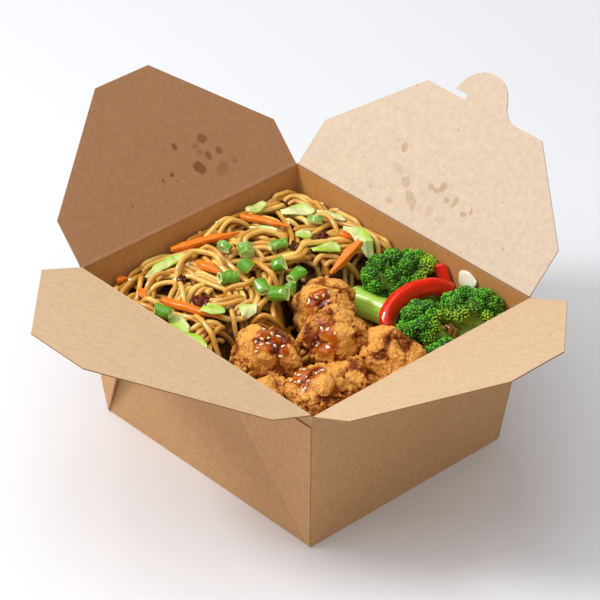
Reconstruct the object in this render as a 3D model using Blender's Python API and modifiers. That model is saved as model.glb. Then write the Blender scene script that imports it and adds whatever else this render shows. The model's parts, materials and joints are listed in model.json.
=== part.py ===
"""Open kraft takeaway box filled with noodles, fried chicken and vegetables.

Metres, +Z up. The origin is the middle of the underside of the box. X runs along the two
shorter walls, Y along the two longer ones. The flaps stand open as served.
"""

import math
import random

import bmesh
import bpy
from mathutils import Euler, Matrix, Vector, noise
from mathutils.bvhtree import BVHTree

MM = 0.001

# Box: outside sizes at the rim, and how far each wall leans in towards the base
RIM_X = 143.9 * MM
RIM_Y = 164.3 * MM
HEIGHT = 85.5 * MM
TAPER = 8.9 * MM
BOARD = 0.6 * MM
GAP = 0.3 * MM

# Creases: a thin round bead on each hinge line, the dust flaps one board lower
CREASE_RADIUS = 0.45 * MM
CREASE_SIDES = 12
CREASE_DROP = 0.75 * MM
DUST_DROP = 0.9 * MM
CORNER_CLEAR = 1.0 * MM

# Flaps: angle from lying flat inwards, straight side, height, width of the top edge
FLAPS = {
    "flap_back_left": {"angle": 132.2, "side": 25.4 * MM, "height": 76.5 * MM, "top": 34.2 * MM},
    "flap_front_right": {"angle": 156.0, "side": 25.4 * MM, "height": 76.5 * MM, "top": 34.2 * MM},
    "flap_back_right": {"angle": 135.8, "side": 25.4 * MM, "height": 68.1 * MM, "top": 78.4 * MM},
    "flap_front_left": {"angle": 158.7, "side": 25.4 * MM, "height": 85.7 * MM, "top": 36.5 * MM},
}
LONG_FLAPS = ("flap_back_right", "flap_front_left")

# Hook tab on the back right flap, from the middle of its top edge
TAB_RADIUS = 16.2 * MM
TAB_CENTRE = (5.2 * MM, 1.8 * MM)
TAB_HOOK = ((21.4 * MM, 2.9 * MM), (14.0 * MM, 3.1 * MM), (12.9 * MM, 0.0))
TAB_FILLET_RADIUS = 12.6 * MM
TAB_FILLET_CENTRE = (-21.9 * MM, 12.6 * MM)

# Corner webs, folded against the two longer walls
WEB_BOARD = 0.8 * MM
WEB_SPREAD = 0.834
WEB_TOP = 78.5 * MM
SPRUNG_SPREAD = 0.585
SPRUNG_LIFT = 0.12

# Food: bed that the chicken and broccoli lie on, and the ceiling under the shut flaps
FLOOR = BOARD + GAP
BED = 50.0 * MM
CEILING = 83.6 * MM
NOODLE_RADIUS = 1.55 * MM

# The way the flat side of a strip faces
STRIP_FACING = Vector((0.35, 0.37, 0.86))

BOARD_COLOUR = "C59A6B"
NOODLE_COLOUR = "C99348"
CRUST_COLOUR = "B4692B"
BROCCOLI_COLOUR = "2F6B1F"
CARROT_COLOUR = "DC6A1C"
CABBAGE_COLOUR = "B9C36A"
SCALLION_COLOUR = "4F9130"


def linear(hex_colour):
    """Turn an sRGB hex colour into the linear values that shaders use."""
    values = [int(hex_colour[i:i + 2], 16) / 255.0 for i in (0, 2, 4)]
    return [c / 12.92 if c <= 0.04045 else ((c + 0.055) / 1.055) ** 2.4 for c in values]


def make_material(name, hex_colour, roughness):
    material = bpy.data.materials.new(name)
    material.use_nodes = True
    shader = material.node_tree.nodes["Principled BSDF"]
    shader.inputs["Base Color"].default_value = (*linear(hex_colour), 1.0)
    shader.inputs["Roughness"].default_value = roughness
    material.diffuse_color = (*linear(hex_colour), 1.0)
    return material


def clear_scene():
    for old in list(bpy.data.objects):
        bpy.data.objects.remove(old, do_unlink=True)


def new_collection(name):
    collection = bpy.data.collections.new(name)
    bpy.context.scene.collection.children.link(collection)
    return collection


def add_mesh(bm, name, collection, material=None):
    """Make an object of a bmesh, which is freed."""
    mesh = bpy.data.meshes.new(name)
    bm.to_mesh(mesh)
    bm.free()
    obj = bpy.data.objects.new(name, mesh)
    collection.objects.link(obj)
    if material:
        mesh.materials.append(material)
    return obj


def applied(obj):
    """Replace an object's mesh by what its modifiers make of it."""
    graph = bpy.context.evaluated_depsgraph_get()
    mesh = bpy.data.meshes.new_from_object(obj.evaluated_get(graph))
    obj.modifiers.clear()
    obj.data = mesh
    return obj


def merge_doubles(obj, distance=0.01 * MM):
    bm = bmesh.new()
    bm.from_mesh(obj.data)
    bmesh.ops.remove_doubles(bm, verts=bm.verts, dist=distance)
    bmesh.ops.dissolve_degenerate(bm, edges=bm.edges, dist=distance)
    bm.to_mesh(obj.data)
    bm.free()


def boolean(obj, pieces, operation):
    """Join or cut an object with a list of pieces in one step, then remove the pieces."""
    operands = new_collection(obj.name + "_operands")
    for piece in pieces:
        for home in list(piece.users_collection):
            home.objects.unlink(piece)
        operands.objects.link(piece)
        piece.hide_render = True
        piece.display_type = "WIRE"
    modifier = obj.modifiers.new("join", "BOOLEAN")
    modifier.operand_type = "COLLECTION"
    modifier.collection = operands
    modifier.operation = operation
    modifier.solver = "EXACT"
    applied(obj)
    for piece in pieces:
        bpy.data.objects.remove(piece, do_unlink=True)
    bpy.data.collections.remove(operands)
    return obj


def biggest_body(obj):
    """Keep only the largest connected body of a mesh."""
    bm = bmesh.new()
    bm.from_mesh(obj.data)
    left = set(bm.verts)
    bodies = []
    while left:
        start = left.pop()
        body, frontier = {start}, [start]
        while frontier:
            vert = frontier.pop()
            for edge in vert.link_edges:
                other = edge.other_vert(vert)
                if other not in body:
                    body.add(other)
                    frontier.append(other)
        left -= body
        bodies.append(body)
    bodies.sort(key=len)
    scraps = [vert for body in bodies[:-1] for vert in body]
    if scraps:
        bmesh.ops.delete(bm, geom=scraps, context="VERTS")
        bm.to_mesh(obj.data)
    bm.free()
    return obj


def half_x(z):
    """Half the outside width of the box along X at height z."""
    return RIM_X / 2 - TAPER * (1 - z / HEIGHT)


def half_y(z):
    """Half the outside width of the box along Y at height z."""
    return RIM_Y / 2 - TAPER * (1 - z / HEIGHT)


# The box

def flat_plate(name, corners, thickness, offset, collection):
    """One flat face through the corners, with a thickness."""
    bm = bmesh.new()
    bm.faces.new([bm.verts.new(corner) for corner in corners])
    plate = add_mesh(bm, name, collection)
    wall = plate.modifiers.new("board", "SOLIDIFY")
    wall.thickness = thickness
    wall.offset = offset
    return applied(plate)


def corner_web(side_x, side_y, spread, lift, collection):
    """The folded corner of the blank: a triangle on a longer wall, its tip lifted off it."""
    sink = 0.3 * MM
    edge_gap = 0.1 * MM

    def on_corner(z):
        return Vector((side_x * (half_x(z) - sink), side_y * (half_y(z) - edge_gap), z))

    low, high = on_corner(0.4 * MM), on_corner(WEB_TOP)
    tip = high + Vector((side_x * lift * WEB_TOP, -side_y * spread * WEB_TOP, 0))
    corners = [low, high, tip]
    normal = (high - low).cross(tip - low)
    if normal.x * side_x < 0:
        corners.reverse()
    return flat_plate("web", corners, WEB_BOARD + sink, 1.0, collection)


def make_tray(collection, material):
    bm = bmesh.new()
    bmesh.ops.create_cube(bm, size=1.0)
    wall_top = HEIGHT - CREASE_DROP
    for vert in bm.verts:
        z = wall_top if vert.co.z > 0 else 0.0
        x, y = math.copysign(half_x(z), vert.co.x), math.copysign(half_y(z), vert.co.y)
        vert.co = Vector((x, y, z))
    lid = [face for face in bm.faces if all(vert.co.z > 0.5 * wall_top for vert in face.verts)]
    bmesh.ops.delete(bm, geom=lid, context="FACES")
    tray = add_mesh(bm, "tray", collection, material)
    wall = tray.modifiers.new("board", "SOLIDIFY")
    wall.thickness = BOARD
    wall.offset = -1.0
    wall.use_even_offset = True
    applied(tray)

    cutters = new_collection("cutters")
    notches = []
    notch_x = half_x(wall_top) - BOARD - 0.1 * MM
    notch_z = wall_top - DUST_DROP
    for side in (-1, 1):
        bm = bmesh.new()
        bmesh.ops.create_cube(bm, size=1.0)
        size = Vector((2 * notch_x, 4 * MM, 4 * MM))
        centre = Vector((0, side * (half_y(wall_top) - BOARD + 1.85 * MM), notch_z + size.z / 2))
        pose = Matrix.Translation(centre) @ Matrix.Diagonal((*size, 1))
        bmesh.ops.transform(bm, matrix=pose, verts=bm.verts)
        notches.append(add_mesh(bm, "notch", cutters))
    boolean(tray, notches, "DIFFERENCE")

    webs = []
    for side_x, side_y in ((-1, -1), (-1, 1), (1, -1), (1, 1)):
        sprung = side_x < 0 < side_y
        spread = SPRUNG_SPREAD if sprung else WEB_SPREAD
        lift = SPRUNG_LIFT if sprung else 0.0
        webs.append(corner_web(side_x, side_y, spread, lift, cutters))
    boolean(tray, webs, "UNION")
    merge_doubles(tray)
    bpy.data.collections.remove(cutters)
    return tray


def arc(centre, radius, start, end, count):
    """Points along an arc, angles in degrees."""
    points = []
    for i in range(count):
        angle = math.radians(start + (end - start) * i / (count - 1))
        points.append((centre[0] + radius * math.cos(angle), centre[1] + radius * math.sin(angle)))
    return points


def hook_tab(height):
    """Outline of the locking tab, from its curved foot over the round head to its hook."""
    foot = (TAB_FILLET_CENTRE[0], height + TAB_FILLET_CENTRE[1])
    points = arc(foot, TAB_FILLET_RADIUS, -90.0, -20.0, 6)
    centre = (TAB_CENTRE[0], height + TAB_CENTRE[1])
    points += arc(centre, TAB_RADIUS, 142.0, 22.0, 13)
    points += [(x, height + y) for x, y in TAB_HOOK]
    return points


def flap_outline(width, shape, tab):
    """Corners of a flap, hinge line at y 0, counter-clockwise."""
    half = width / 2 - CORNER_CLEAR
    top = shape["top"] / 2
    points = [(-half, 0.0), (-half, shape["side"]), (-top, shape["height"])]
    if tab:
        points += hook_tab(shape["height"])
    points += [(top, shape["height"]), (half, shape["side"]), (half, 0.0)]
    points.reverse()
    return points


def make_flap(name, collection, material):
    """A flap in its own frame: X along the hinge, Y away from it, then set on its wall."""
    shape = FLAPS[name]
    is_long = name in LONG_FLAPS
    width = RIM_Y if is_long else RIM_X
    outline = flap_outline(width, shape, tab=name == "flap_back_right")
    bm = bmesh.new()
    bm.faces.new([bm.verts.new((x, y, 0.0)) for x, y in outline])
    flap = add_mesh(bm, name, collection, material)
    wall = flap.modifiers.new("board", "SOLIDIFY")
    wall.thickness = BOARD
    wall.offset = 0.0
    applied(flap)

    bm = bmesh.new()
    bmesh.ops.create_cone(bm, cap_ends=True, segments=CREASE_SIDES, radius1=CREASE_RADIUS,
                          radius2=CREASE_RADIUS, depth=width - 2 * CORNER_CLEAR + 0.04 * MM,
                          matrix=Matrix.Rotation(math.radians(90), 4, "Y"))
    bead = add_mesh(bm, name + "_bead", collection)
    boolean(flap, [bead], "UNION")
    merge_doubles(flap)

    flap.location, flap.rotation_euler = flap_pose(name)
    return flap


def flap_pose(name):
    """Where a flap's hinge line lies, and how it is turned. The flap is flat inwards at 0."""
    angle = math.radians(FLAPS[name]["angle"])
    turns = {"flap_front_right": 0.0, "flap_back_right": 90.0, "flap_back_left": 180.0,
             "flap_front_left": -90.0}
    places = {
        "flap_front_right": (0, -RIM_Y / 2, HEIGHT - DUST_DROP),
        "flap_back_left": (0, RIM_Y / 2, HEIGHT - DUST_DROP),
        "flap_front_left": (-RIM_X / 2, 0, HEIGHT),
        "flap_back_right": (RIM_X / 2, 0, HEIGHT),
    }
    return Vector(places[name]), Euler((angle, 0, math.radians(turns[name])), "XYZ")


# The heap of noodles

# Chicken and broccoli in millimetres: middle, and half sizes along, across and up
LUMPS = {
    "chicken_front": {"at": (-37, -51, 63.5), "half": (15.5, 15.0, 13.8), "turn": 10},
    "chicken_left": {"at": (-35, -11, 64), "half": (13.8, 16.0, 14.2), "turn": 30},
    "chicken_middle": {"at": (-3, -24, 67.5), "half": (15.5, 15.0, 13.8), "turn": -35},
    "chicken_back": {"at": (11.5, -1.5, 65), "half": (17.0, 14.5, 14.2), "turn": 40},
    "chicken_right": {"at": (9, -51, 64), "half": (13.0, 17.5, 13.5), "turn": 5},
    "chicken_low_left": {"at": (-51, -31, 59.5), "half": (10.5, 10.0, 9.0), "turn": 0},
    "chicken_low_front": {"at": (-13, -47, 58.5), "half": (11.0, 12.0, 9.0), "turn": 20},
    "broccoli_back": {"at": (55, -12, 69.5), "half": (20.0, 14.5, 13.5), "turn": -43},
    "broccoli_front": {"at": (35, -47, 68), "half": (13.0, 12.0, 12.0), "turn": 20},
    "broccoli_right": {"at": (57, -57, 70), "half": (16.5, 14.0, 12.5), "turn": -43},
    "broccoli_low": {"at": (30, -66, 60), "half": (12.0, 10.0, 10.0), "turn": 10},
}

# Stems of the florets: foot, then the radius at the foot and under the crown
STEMS = {
    "broccoli_back": {"foot": (66, -24, 55), "radius": (5.5, 7.5)},
    "broccoli_front": {"foot": (44, -58, 55), "radius": (4.5, 6.0)},
    "broccoli_right": {"foot": (49, -64, 55), "radius": (5.0, 6.5)},
}

# How far a crown reaches past its middle towards the foot of its stem, in millimetres
CROWN_DEPTH = 4.5

# Strips that lie between the lumps: route, width and thickness
STRIPS = {
    "broccoli_stalk": {
        "route": ((36, 4, 57.5), (38.5, -8, 57.5), (41, -21, 57.5)), "width": 14.0, "thickness": 13.0,
        "colour": "8DB63C"},
    "pepper_curved": {
        "route": ((22, -35, 63), (26, -31, 68.5), (35, -28.5, 72.5), (46, -29, 74), (56, -32.5, 73.5),
                  (64, -37, 69)), "width": 8.0, "thickness": 5.0, "colour": "C8200F"},
    "pepper_short": {
        "route": ((66.9, -24.5, 78), (66, -30.5, 70), (65, -36, 62)), "width": 6.5,
        "thickness": 3.6, "colour": "C8200F"},
    "onion_slice": {
        "route": ((68.7, -37, 75), (68.9, -42, 76.5), (68.3, -47.5, 74.5)), "width": 8.0,
        "thickness": 1.6, "colour": "E8E2C8"},
}


def outside_lump(lump, x, y):
    """About how far a place of the plan lies outside a lump, in millimetres."""
    turn = math.radians(lump["turn"])
    dx, dy = x - lump["at"][0], y - lump["at"][1]
    along = dx * math.cos(turn) + dy * math.sin(turn)
    across = dy * math.cos(turn) - dx * math.sin(turn)
    ratio = math.hypot(along / lump["half"][0], across / lump["half"][1])
    return (ratio - 1.12) * min(lump["half"][:2])


def height_of_heap(x, y):
    """Height of the noodle heap before its strands are added. All in millimetres."""
    rise = 75.2 - 9.0 * max(0.0, (10 - x) / 80) ** 2 - 2.5 * max(0.0, (x - 10) / 60) ** 2
    rise -= 0.8 * ((y - 42) / 38) ** 2
    rise += 1.4 * noise.noise(Vector((x / 17, y / 17, 0.4)))
    bed = BED / MM
    clear = y + 9 - 0.13 * x
    for lump in LUMPS.values():
        clear = min(clear, outside_lump(lump, x, y) - 1.0)
    share = min(max(clear / 7.0, 0.0), 1.0)
    share = share * share * (3 - 2 * share)
    return bed + (rise - bed) * share


def make_heap_core(collection, material):
    """One closed body from the floor of the tray up to the heap's own surface."""
    cells_x, cells_y = 25, 29
    inset = BOARD * 1.02 + GAP
    bm = bmesh.new()
    bmesh.ops.create_grid(bm, x_segments=cells_x, y_segments=cells_y, size=1.0)
    for vert in bm.verts:
        u, v = vert.co.x, vert.co.y
        z = 70.0 * MM
        for _ in range(3):
            x, y = u * (half_x(z) - inset), v * (half_y(z) - inset)
            z = height_of_heap(x / MM, y / MM) * MM
        vert.co = Vector((u * (half_x(z) - inset), v * (half_y(z) - inset), z))
    rim = [edge for edge in bm.edges if edge.is_boundary]
    made = bmesh.ops.extrude_edge_only(bm, edges=rim)["geom"]
    for vert in [item for item in made if isinstance(item, bmesh.types.BMVert)]:
        top = vert.co.copy()
        vert.co.x = top.x * (half_x(FLOOR) - inset) / (half_x(top.z) - inset)
        vert.co.y = top.y * (half_y(FLOOR) - inset) / (half_y(top.z) - inset)
        vert.co.z = FLOOR
    foot = [edge for edge in bm.edges if edge.is_boundary]
    bmesh.ops.edgeloop_fill(bm, edges=foot)
    bmesh.ops.triangulate(bm, faces=bm.faces)
    bmesh.ops.recalc_face_normals(bm, faces=bm.faces)
    return add_mesh(bm, "noodles", collection, material)


def tree_of(obj):
    """Search tree of an object's mesh in world space."""
    matrix = obj.matrix_world
    corners = [matrix @ vert.co for vert in obj.data.vertices]
    return BVHTree.FromPolygons(corners, [list(face.vertices) for face in obj.data.polygons])


def surface_height(tree, x, y, default=BED):
    hit = tree.ray_cast(Vector((x, y, 0.2)), Vector((0, 0, -1)))
    return hit[0].z if hit[0] else default


# Strands fused to the heap: how many, how far apart, and how high their middles lie on it
STRAND_COUNT = 28
STRAND_TRIES = 400
STRAND_SEED = 11
STRAND_POINTS = 6
STRAND_PITCH = 2.0 * MM
STRAND_LIFT = 1.0 * MM
STRAND_OVER = 1.8 * MM
STRAND_REACH = 12.0 * MM

# Strands of noodle that show most, as points of plan in millimetres
STRANDS = (
    ((-16, 28), (-26, 17), (-40, 4), (-56, -14)),
    ((-12, 19), (-28, 10), (-44, 2), (-57, -8)),
    ((-36, 55), (-45, 40), (-51, 20), (-54, 2)),
    ((-33, 54), (-42, 39), (-48, 19), (-50, 4)),
    ((-44, 38), (-52, 50), (-52, 60), (-42, 65), (-32, 62)),
    ((-38, 55), (-28, 63), (-14, 66), (-7, 57), (-8, 47)),
    ((-27, 52), (-23, 41), (-16, 35), (-3, 36)),
    ((-38, 32), (-31, 24), (-20, 21)),
    ((2, 38), (0, 25), (1, 14), (7, 8)),
    ((33, 38), (33, 27), (26, 17), (15, 13)),
    ((47, 12), (36, 6), (30, 6)),
    ((24, 62), (33, 54), (34, 42), (40, 33)),
    ((4, 50), (12, 56), (24, 55), (30, 47)),
    ((50, 56), (55, 44), (52, 30), (58, 18)),
    ((-60, 30), (-50, 34), (-40, 45), (-24, 44)),
    ((-10, 74), (2, 70), (16, 73), (28, 68)),
    ((-46, 74), (-36, 69), (-26, 72), (-14, 70)),
    ((38, 70), (46, 62), (60, 64)),
    ((10, 32), (20, 26), (30, 30), (44, 26)),
    ((-62, 60), (-60, 48), (-57, 38), (-60, 24)),
    ((44, 18), (48, 10), (60, 8)),
    ((-24, 30), (-14, 24), (-6, 26)),
)


def smooth_path(points, spacing):
    """Even points along a smooth curve through the given ones."""
    ends = [2 * points[0] - points[1]] + list(points) + [2 * points[-1] - points[-2]]
    fine = []
    for i in range(1, len(ends) - 2):
        a, b, c, d = ends[i - 1:i + 3]
        for step in range(12):
            t = step / 12
            fine.append(0.5 * (2 * b + (c - a) * t + (2 * a - 5 * b + 4 * c - d) * t * t
                               + (3 * b - a - 3 * c + d) * t ** 3))
    fine.append(points[-1])
    path, since = [fine[0]], 0.0
    for before, after in zip(fine, fine[1:]):
        since += (after - before).length
        if since >= spacing:
            path.append(after)
            since = 0.0
    if (path[-1] - fine[-1]).length > 0.4 * spacing:
        path.append(fine[-1])
    return path


def make_tube(name, path, radius, resolution, collection):
    """A round strand along a path, as a closed mesh."""
    curve = bpy.data.curves.new(name, "CURVE")
    curve.dimensions = "3D"
    curve.bevel_depth = radius
    curve.bevel_resolution = resolution
    curve.use_fill_caps = True
    spline = curve.splines.new("POLY")
    spline.points.add(len(path) - 1)
    for point, place in zip(spline.points, path):
        point.co = (*place, 1.0)
    obj = bpy.data.objects.new(name, curve)
    collection.objects.link(obj)
    graph = bpy.context.evaluated_depsgraph_get()
    mesh = bpy.data.meshes.new_from_object(obj.evaluated_get(graph))
    bpy.data.objects.remove(obj, do_unlink=True)
    tube = bpy.data.objects.new(name, mesh)
    collection.objects.link(tube)
    merge_doubles(tube)
    return tube


def strand_path(points, core_tree):
    """Lay a plan route on the surface of the heap."""
    route = smooth_path([Vector((x * MM, y * MM, 0)) for x, y in points], 4.0 * MM)
    return [Vector((p.x, p.y, surface_height(core_tree, p.x, p.y))) for p in route]


def curl(draw):
    """A seeded route for one more strand: a bent arc somewhere on the heap."""
    x, y = draw.uniform(-64, 64), draw.uniform(-4, 78)
    radius, start = draw.uniform(9, 26), draw.uniform(0, 2 * math.pi)
    sweep = draw.choice((-1, 1)) * draw.uniform(1.2, 3.4)
    route = []
    for i in range(5):
        angle, reach = start + sweep * i / 4, radius * (1 + 0.08 * i)
        route.append((x + reach * math.cos(angle), y + reach * math.sin(angle)))
    return route


def on_heap(place):
    """Whether a point of a strand lies on the heap and clear of the walls."""
    edge = BOARD + NOODLE_RADIUS + 2 * GAP
    inside = abs(place.x) < half_x(place.z) - edge and abs(place.y) < half_y(place.z) - edge
    return inside and place.z > BED + STRAND_REACH


def fuse_strands(core, toppings, collection):
    """Join to the core the strands that stay clear of every topping."""
    core_tree = tree_of(core)
    trees = [tree_of(topping) for topping in toppings]
    draw = random.Random(STRAND_SEED)
    routes = list(STRANDS) + [curl(draw) for _ in range(STRAND_TRIES)]
    strands, used = [], []
    for points in routes:
        path = longest_clear_run(strand_path(points, core_tree), trees, NOODLE_RADIUS + 2.5 * GAP)
        if len(path) < STRAND_POINTS:
            continue
        crossings = [any(tree.find_nearest(p, STRAND_PITCH)[0] for tree in used) for p in path]
        if sum(crossings) > len(path) / 2:
            continue
        for i, place in enumerate(path):
            end = min(i, len(path) - 1 - i)
            place.z += STRAND_LIFT - {0: 2.6 * MM, 1: 0.8 * MM}.get(end, 0.0)
            if crossings[i] and end > 1:
                place.z += STRAND_OVER
        if any(too_near(tree, place, NOODLE_RADIUS + GAP) for tree in trees for place in path):
            continue
        strand = make_tube("strand", path, NOODLE_RADIUS, 1, collection)
        strands.append(strand)
        used.append(tree_of(strand))
        if len(strands) == STRAND_COUNT:
            break
    boolean(core, strands, "UNION")
    merge_doubles(core)
    return biggest_body(core)


def too_near(tree, place, reach):
    """Whether a place is inside a body or within reach of its surface."""
    if tree.find_nearest(place, reach)[0] is not None:
        return True
    above = tree.ray_cast(place, Vector((0, 0, 1)))
    return above[0] is not None and above[1].z > 0


def longest_clear_run(path, trees, reach):
    """The longest stretch of a path on the heap whose points all keep off the given trees."""
    runs, run = [], []
    for place in path:
        if not on_heap(place) or any(too_near(tree, place, reach) for tree in trees):
            runs.append(run)
            run = []
        else:
            run.append(place)
    runs.append(run)
    return max(runs, key=len)


# Chicken and broccoli

def dividing_planes(name):
    """Planes halfway to each neighbour, and the walls, bed and ceiling: (point, outward)."""
    lump = LUMPS[name]
    middle = Vector(lump["at"])
    size = sum(lump["half"]) / 3
    planes = []
    for other_name, other in LUMPS.items():
        if other_name == name:
            continue
        away = Vector(other["at"]) - middle
        distance = away.length
        other_size = sum(other["half"]) / 3
        if distance > size + other_size + 12:
            continue
        share = 0.5 + (size ** 2 - other_size ** 2) / (2 * distance ** 2)
        direction = away / distance
        planes.append((middle + away * share - direction * 0.2, direction))
    planes.append((Vector((0, 0, BED / MM + 0.4)), Vector((0, 0, -1))))
    planes.append((Vector((0, 0, CEILING / MM)), Vector((0, 0, 1))))
    lean = math.atan2(TAPER, HEIGHT)
    inset = (BOARD + GAP) / MM + 0.15
    for side in (-1, 1):
        wall_x = Vector((side * math.cos(lean), 0, -math.sin(lean)))
        wall_y = Vector((0, side * math.cos(lean), -math.sin(lean)))
        planes.append((Vector((side * RIM_X / 2 / MM, 0, HEIGHT / MM)) - wall_x * inset, wall_x))
        planes.append((Vector((0, side * RIM_Y / 2 / MM, HEIGHT / MM)) - wall_y * inset, wall_y))
    return planes


def reach_to_planes(middle, direction, planes):
    """How far a ray from the middle goes before it meets a plane."""
    reach = 1000.0
    for point, outward in planes:
        along = direction.dot(outward)
        if along > 1e-6:
            reach = min(reach, (point - middle).dot(outward) / along)
    return reach


def craggy(direction, seed):
    """Uneven crust: big lobes, then crags on them."""
    place = direction + Vector((seed * 3.7, seed * 1.3, seed * 2.1))
    lobes = 0.17 * noise.noise(place * 1.7)
    crags = 0.20 * (0.35 - abs(noise.noise(place * 3.6)))
    return 1.0 + lobes + crags


def floret(direction, seed):
    """Crown of buds: round bunches with clefts between them."""
    place = direction * 2.3 + Vector((seed * 2.9, seed * 1.7, seed * 0.6))
    distances, _ = noise.voronoi(place)
    return 0.90 + 0.28 * min(distances[1] - distances[0], 0.5) + 0.05 * noise.noise(place * 2.5)


def make_strip(name, rule, swell, collection, material=None):
    """A strip with a flat oval section carried along its bend, made larger by the swell."""
    path = smooth_path([Vector(point) * MM for point in rule["route"]], 3.4 * MM)
    first, last = (path[0] - path[1]).normalized(), (path[-1] - path[-2]).normalized()
    path[0] += first * swell
    path[-1] += last * swell
    width, thickness = rule["width"] * MM + 2 * swell, rule["thickness"] * MM + 2 * swell
    sides = 8
    bm = bmesh.new()
    rings = []
    for i, place in enumerate(path):
        along = (path[min(i + 1, len(path) - 1)] - path[max(i - 1, 0)]).normalized()
        across = along.cross(STRIP_FACING).normalized()
        up = across.cross(along)
        taper = 0.7 if i in (0, len(path) - 1) else 1.0
        ring = []
        for k in range(sides):
            angle = 2 * math.pi * (k + 0.5) / sides
            offset = across * math.cos(angle) * thickness / 2 + up * math.sin(angle) * width / 2
            ring.append(bm.verts.new(place + offset * taper))
        rings.append(ring)
    for low, high in zip(rings, rings[1:]):
        for k in range(sides):
            bm.faces.new((low[k], low[(k + 1) % sides], high[(k + 1) % sides], high[k]))
    bm.faces.new(rings[0])
    bm.faces.new(rings[-1])
    bmesh.ops.triangulate(bm, faces=bm.faces)
    bmesh.ops.recalc_face_normals(bm, faces=bm.faces)
    return add_mesh(bm, name, collection, material)


def trim(bm, planes):
    """Cut off what lies beyond each plane and close the cuts."""
    for point, outward in planes:
        geometry = bm.verts[:] + bm.edges[:] + bm.faces[:]
        bmesh.ops.bisect_plane(bm, geom=geometry, plane_co=point * MM, plane_no=outward,
                               clear_outer=True)
        rim = [edge for edge in bm.edges if edge.is_boundary]
        if rim:
            bmesh.ops.edgeloop_fill(bm, edges=rim)


def make_stem(name, planes, collection):
    """The branching foot of a floret, from under its crown down to its cut end."""
    foot, middle = Vector(STEMS[name]["foot"]), Vector(LUMPS[name]["at"])
    thin, thick = STEMS[name]["radius"]
    sideways = (middle - foot).cross(Vector((0, 0, 1))).normalized()
    branches = []
    for spread, share in ((0, 1.0), (-9, 0.55), (9, 0.55)):
        end = middle + sideways * spread
        axis = end - foot
        bm = bmesh.new()
        bmesh.ops.create_cone(bm, cap_ends=True, segments=8, radius1=thin * share * MM,
                              radius2=thick * share * MM, depth=axis.length * MM)
        turn = axis.to_track_quat("Z", "Y").to_matrix().to_4x4()
        place = Matrix.Translation((foot + end) / 2 * MM)
        bmesh.ops.transform(bm, matrix=place @ turn, verts=bm.verts)
        trim(bm, planes)
        bmesh.ops.recalc_face_normals(bm, faces=bm.faces)
        branches.append(add_mesh(bm, name + "_stem", collection))
    return branches


def make_lump(name, collection):
    """A rounded lump with relief, kept on its own side of its neighbours."""
    crown = name.startswith("broccoli")
    relief = floret if crown else craggy
    lump = LUMPS[name]
    seed = 1 + list(LUMPS).index(name)
    middle = Vector(lump["at"])
    half = lump["half"]
    turn = Matrix.Rotation(math.radians(lump["turn"]), 3, "Z")
    planes = dividing_planes(name)
    crown_planes = list(planes)
    if name in STEMS:
        down = (Vector(STEMS[name]["foot"]) - middle).normalized()
        crown_planes.append((middle + down * CROWN_DEPTH, down))
    bm = bmesh.new()
    bmesh.ops.create_uvsphere(bm, u_segments=18, v_segments=12, radius=1.0)
    roll = Euler((0.5 + seed, 0.9 * seed, 0.3 * seed)).to_matrix()
    for vert in bm.verts:
        ray = (roll @ vert.co).normalized()
        stretched = turn @ Vector((ray.x * half[0], ray.y * half[1], ray.z * half[2]))
        direction = stretched.normalized()
        reach = stretched.length * relief(ray, seed)
        reach = min(reach, reach_to_planes(middle, direction, crown_planes))
        vert.co = (middle + direction * reach) * MM
    bmesh.ops.triangulate(bm, faces=bm.faces)
    bmesh.ops.recalc_face_normals(bm, faces=bm.faces)
    material = make_material(name, BROCCOLI_COLOUR if crown else CRUST_COLOUR, 0.6 if crown else 0.4)
    obj = add_mesh(bm, name, collection, material)
    if name in STEMS:
        boolean(obj, make_stem(name, planes, collection), "UNION")
        merge_doubles(obj)
    if name in SESAME:
        sprinkle(obj, SESAME[name], collection)
    room = []
    own = tree_of(obj)
    for strip_name, rule in STRIPS.items():
        space = make_strip(strip_name + "_space", rule, GAP + 0.1 * MM, collection)
        if own.overlap(tree_of(space)):
            room.append(space)
        else:
            bpy.data.objects.remove(space, do_unlink=True)
    if room:
        boolean(obj, room, "DIFFERENCE")
        merge_doubles(obj)
        biggest_body(obj)
    return obj


# Half sizes of a sesame seed, how deep it is pressed in, and the least space between seeds
SESAME_SIZE = (1.7 * MM, 1.05 * MM, 0.75 * MM)
SESAME_LIFT = 0.25 * MM
SESAME_PITCH = 2.4 * MM

# For each piece that carries sesame, how many seeds and where they are scattered (mm)
SESAME = {
    "chicken_middle": {"count": 8, "at": (-3, -22), "spread": (5, 5)},
    "chicken_back": {"count": 4, "at": (7, 2), "spread": (5, 5)},
    "chicken_left": {"count": 5, "at": (-33, -12), "spread": (5, 6)},
    "chicken_front": {"count": 7, "at": (-36, -47), "spread": (8, 5)},
}


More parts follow.
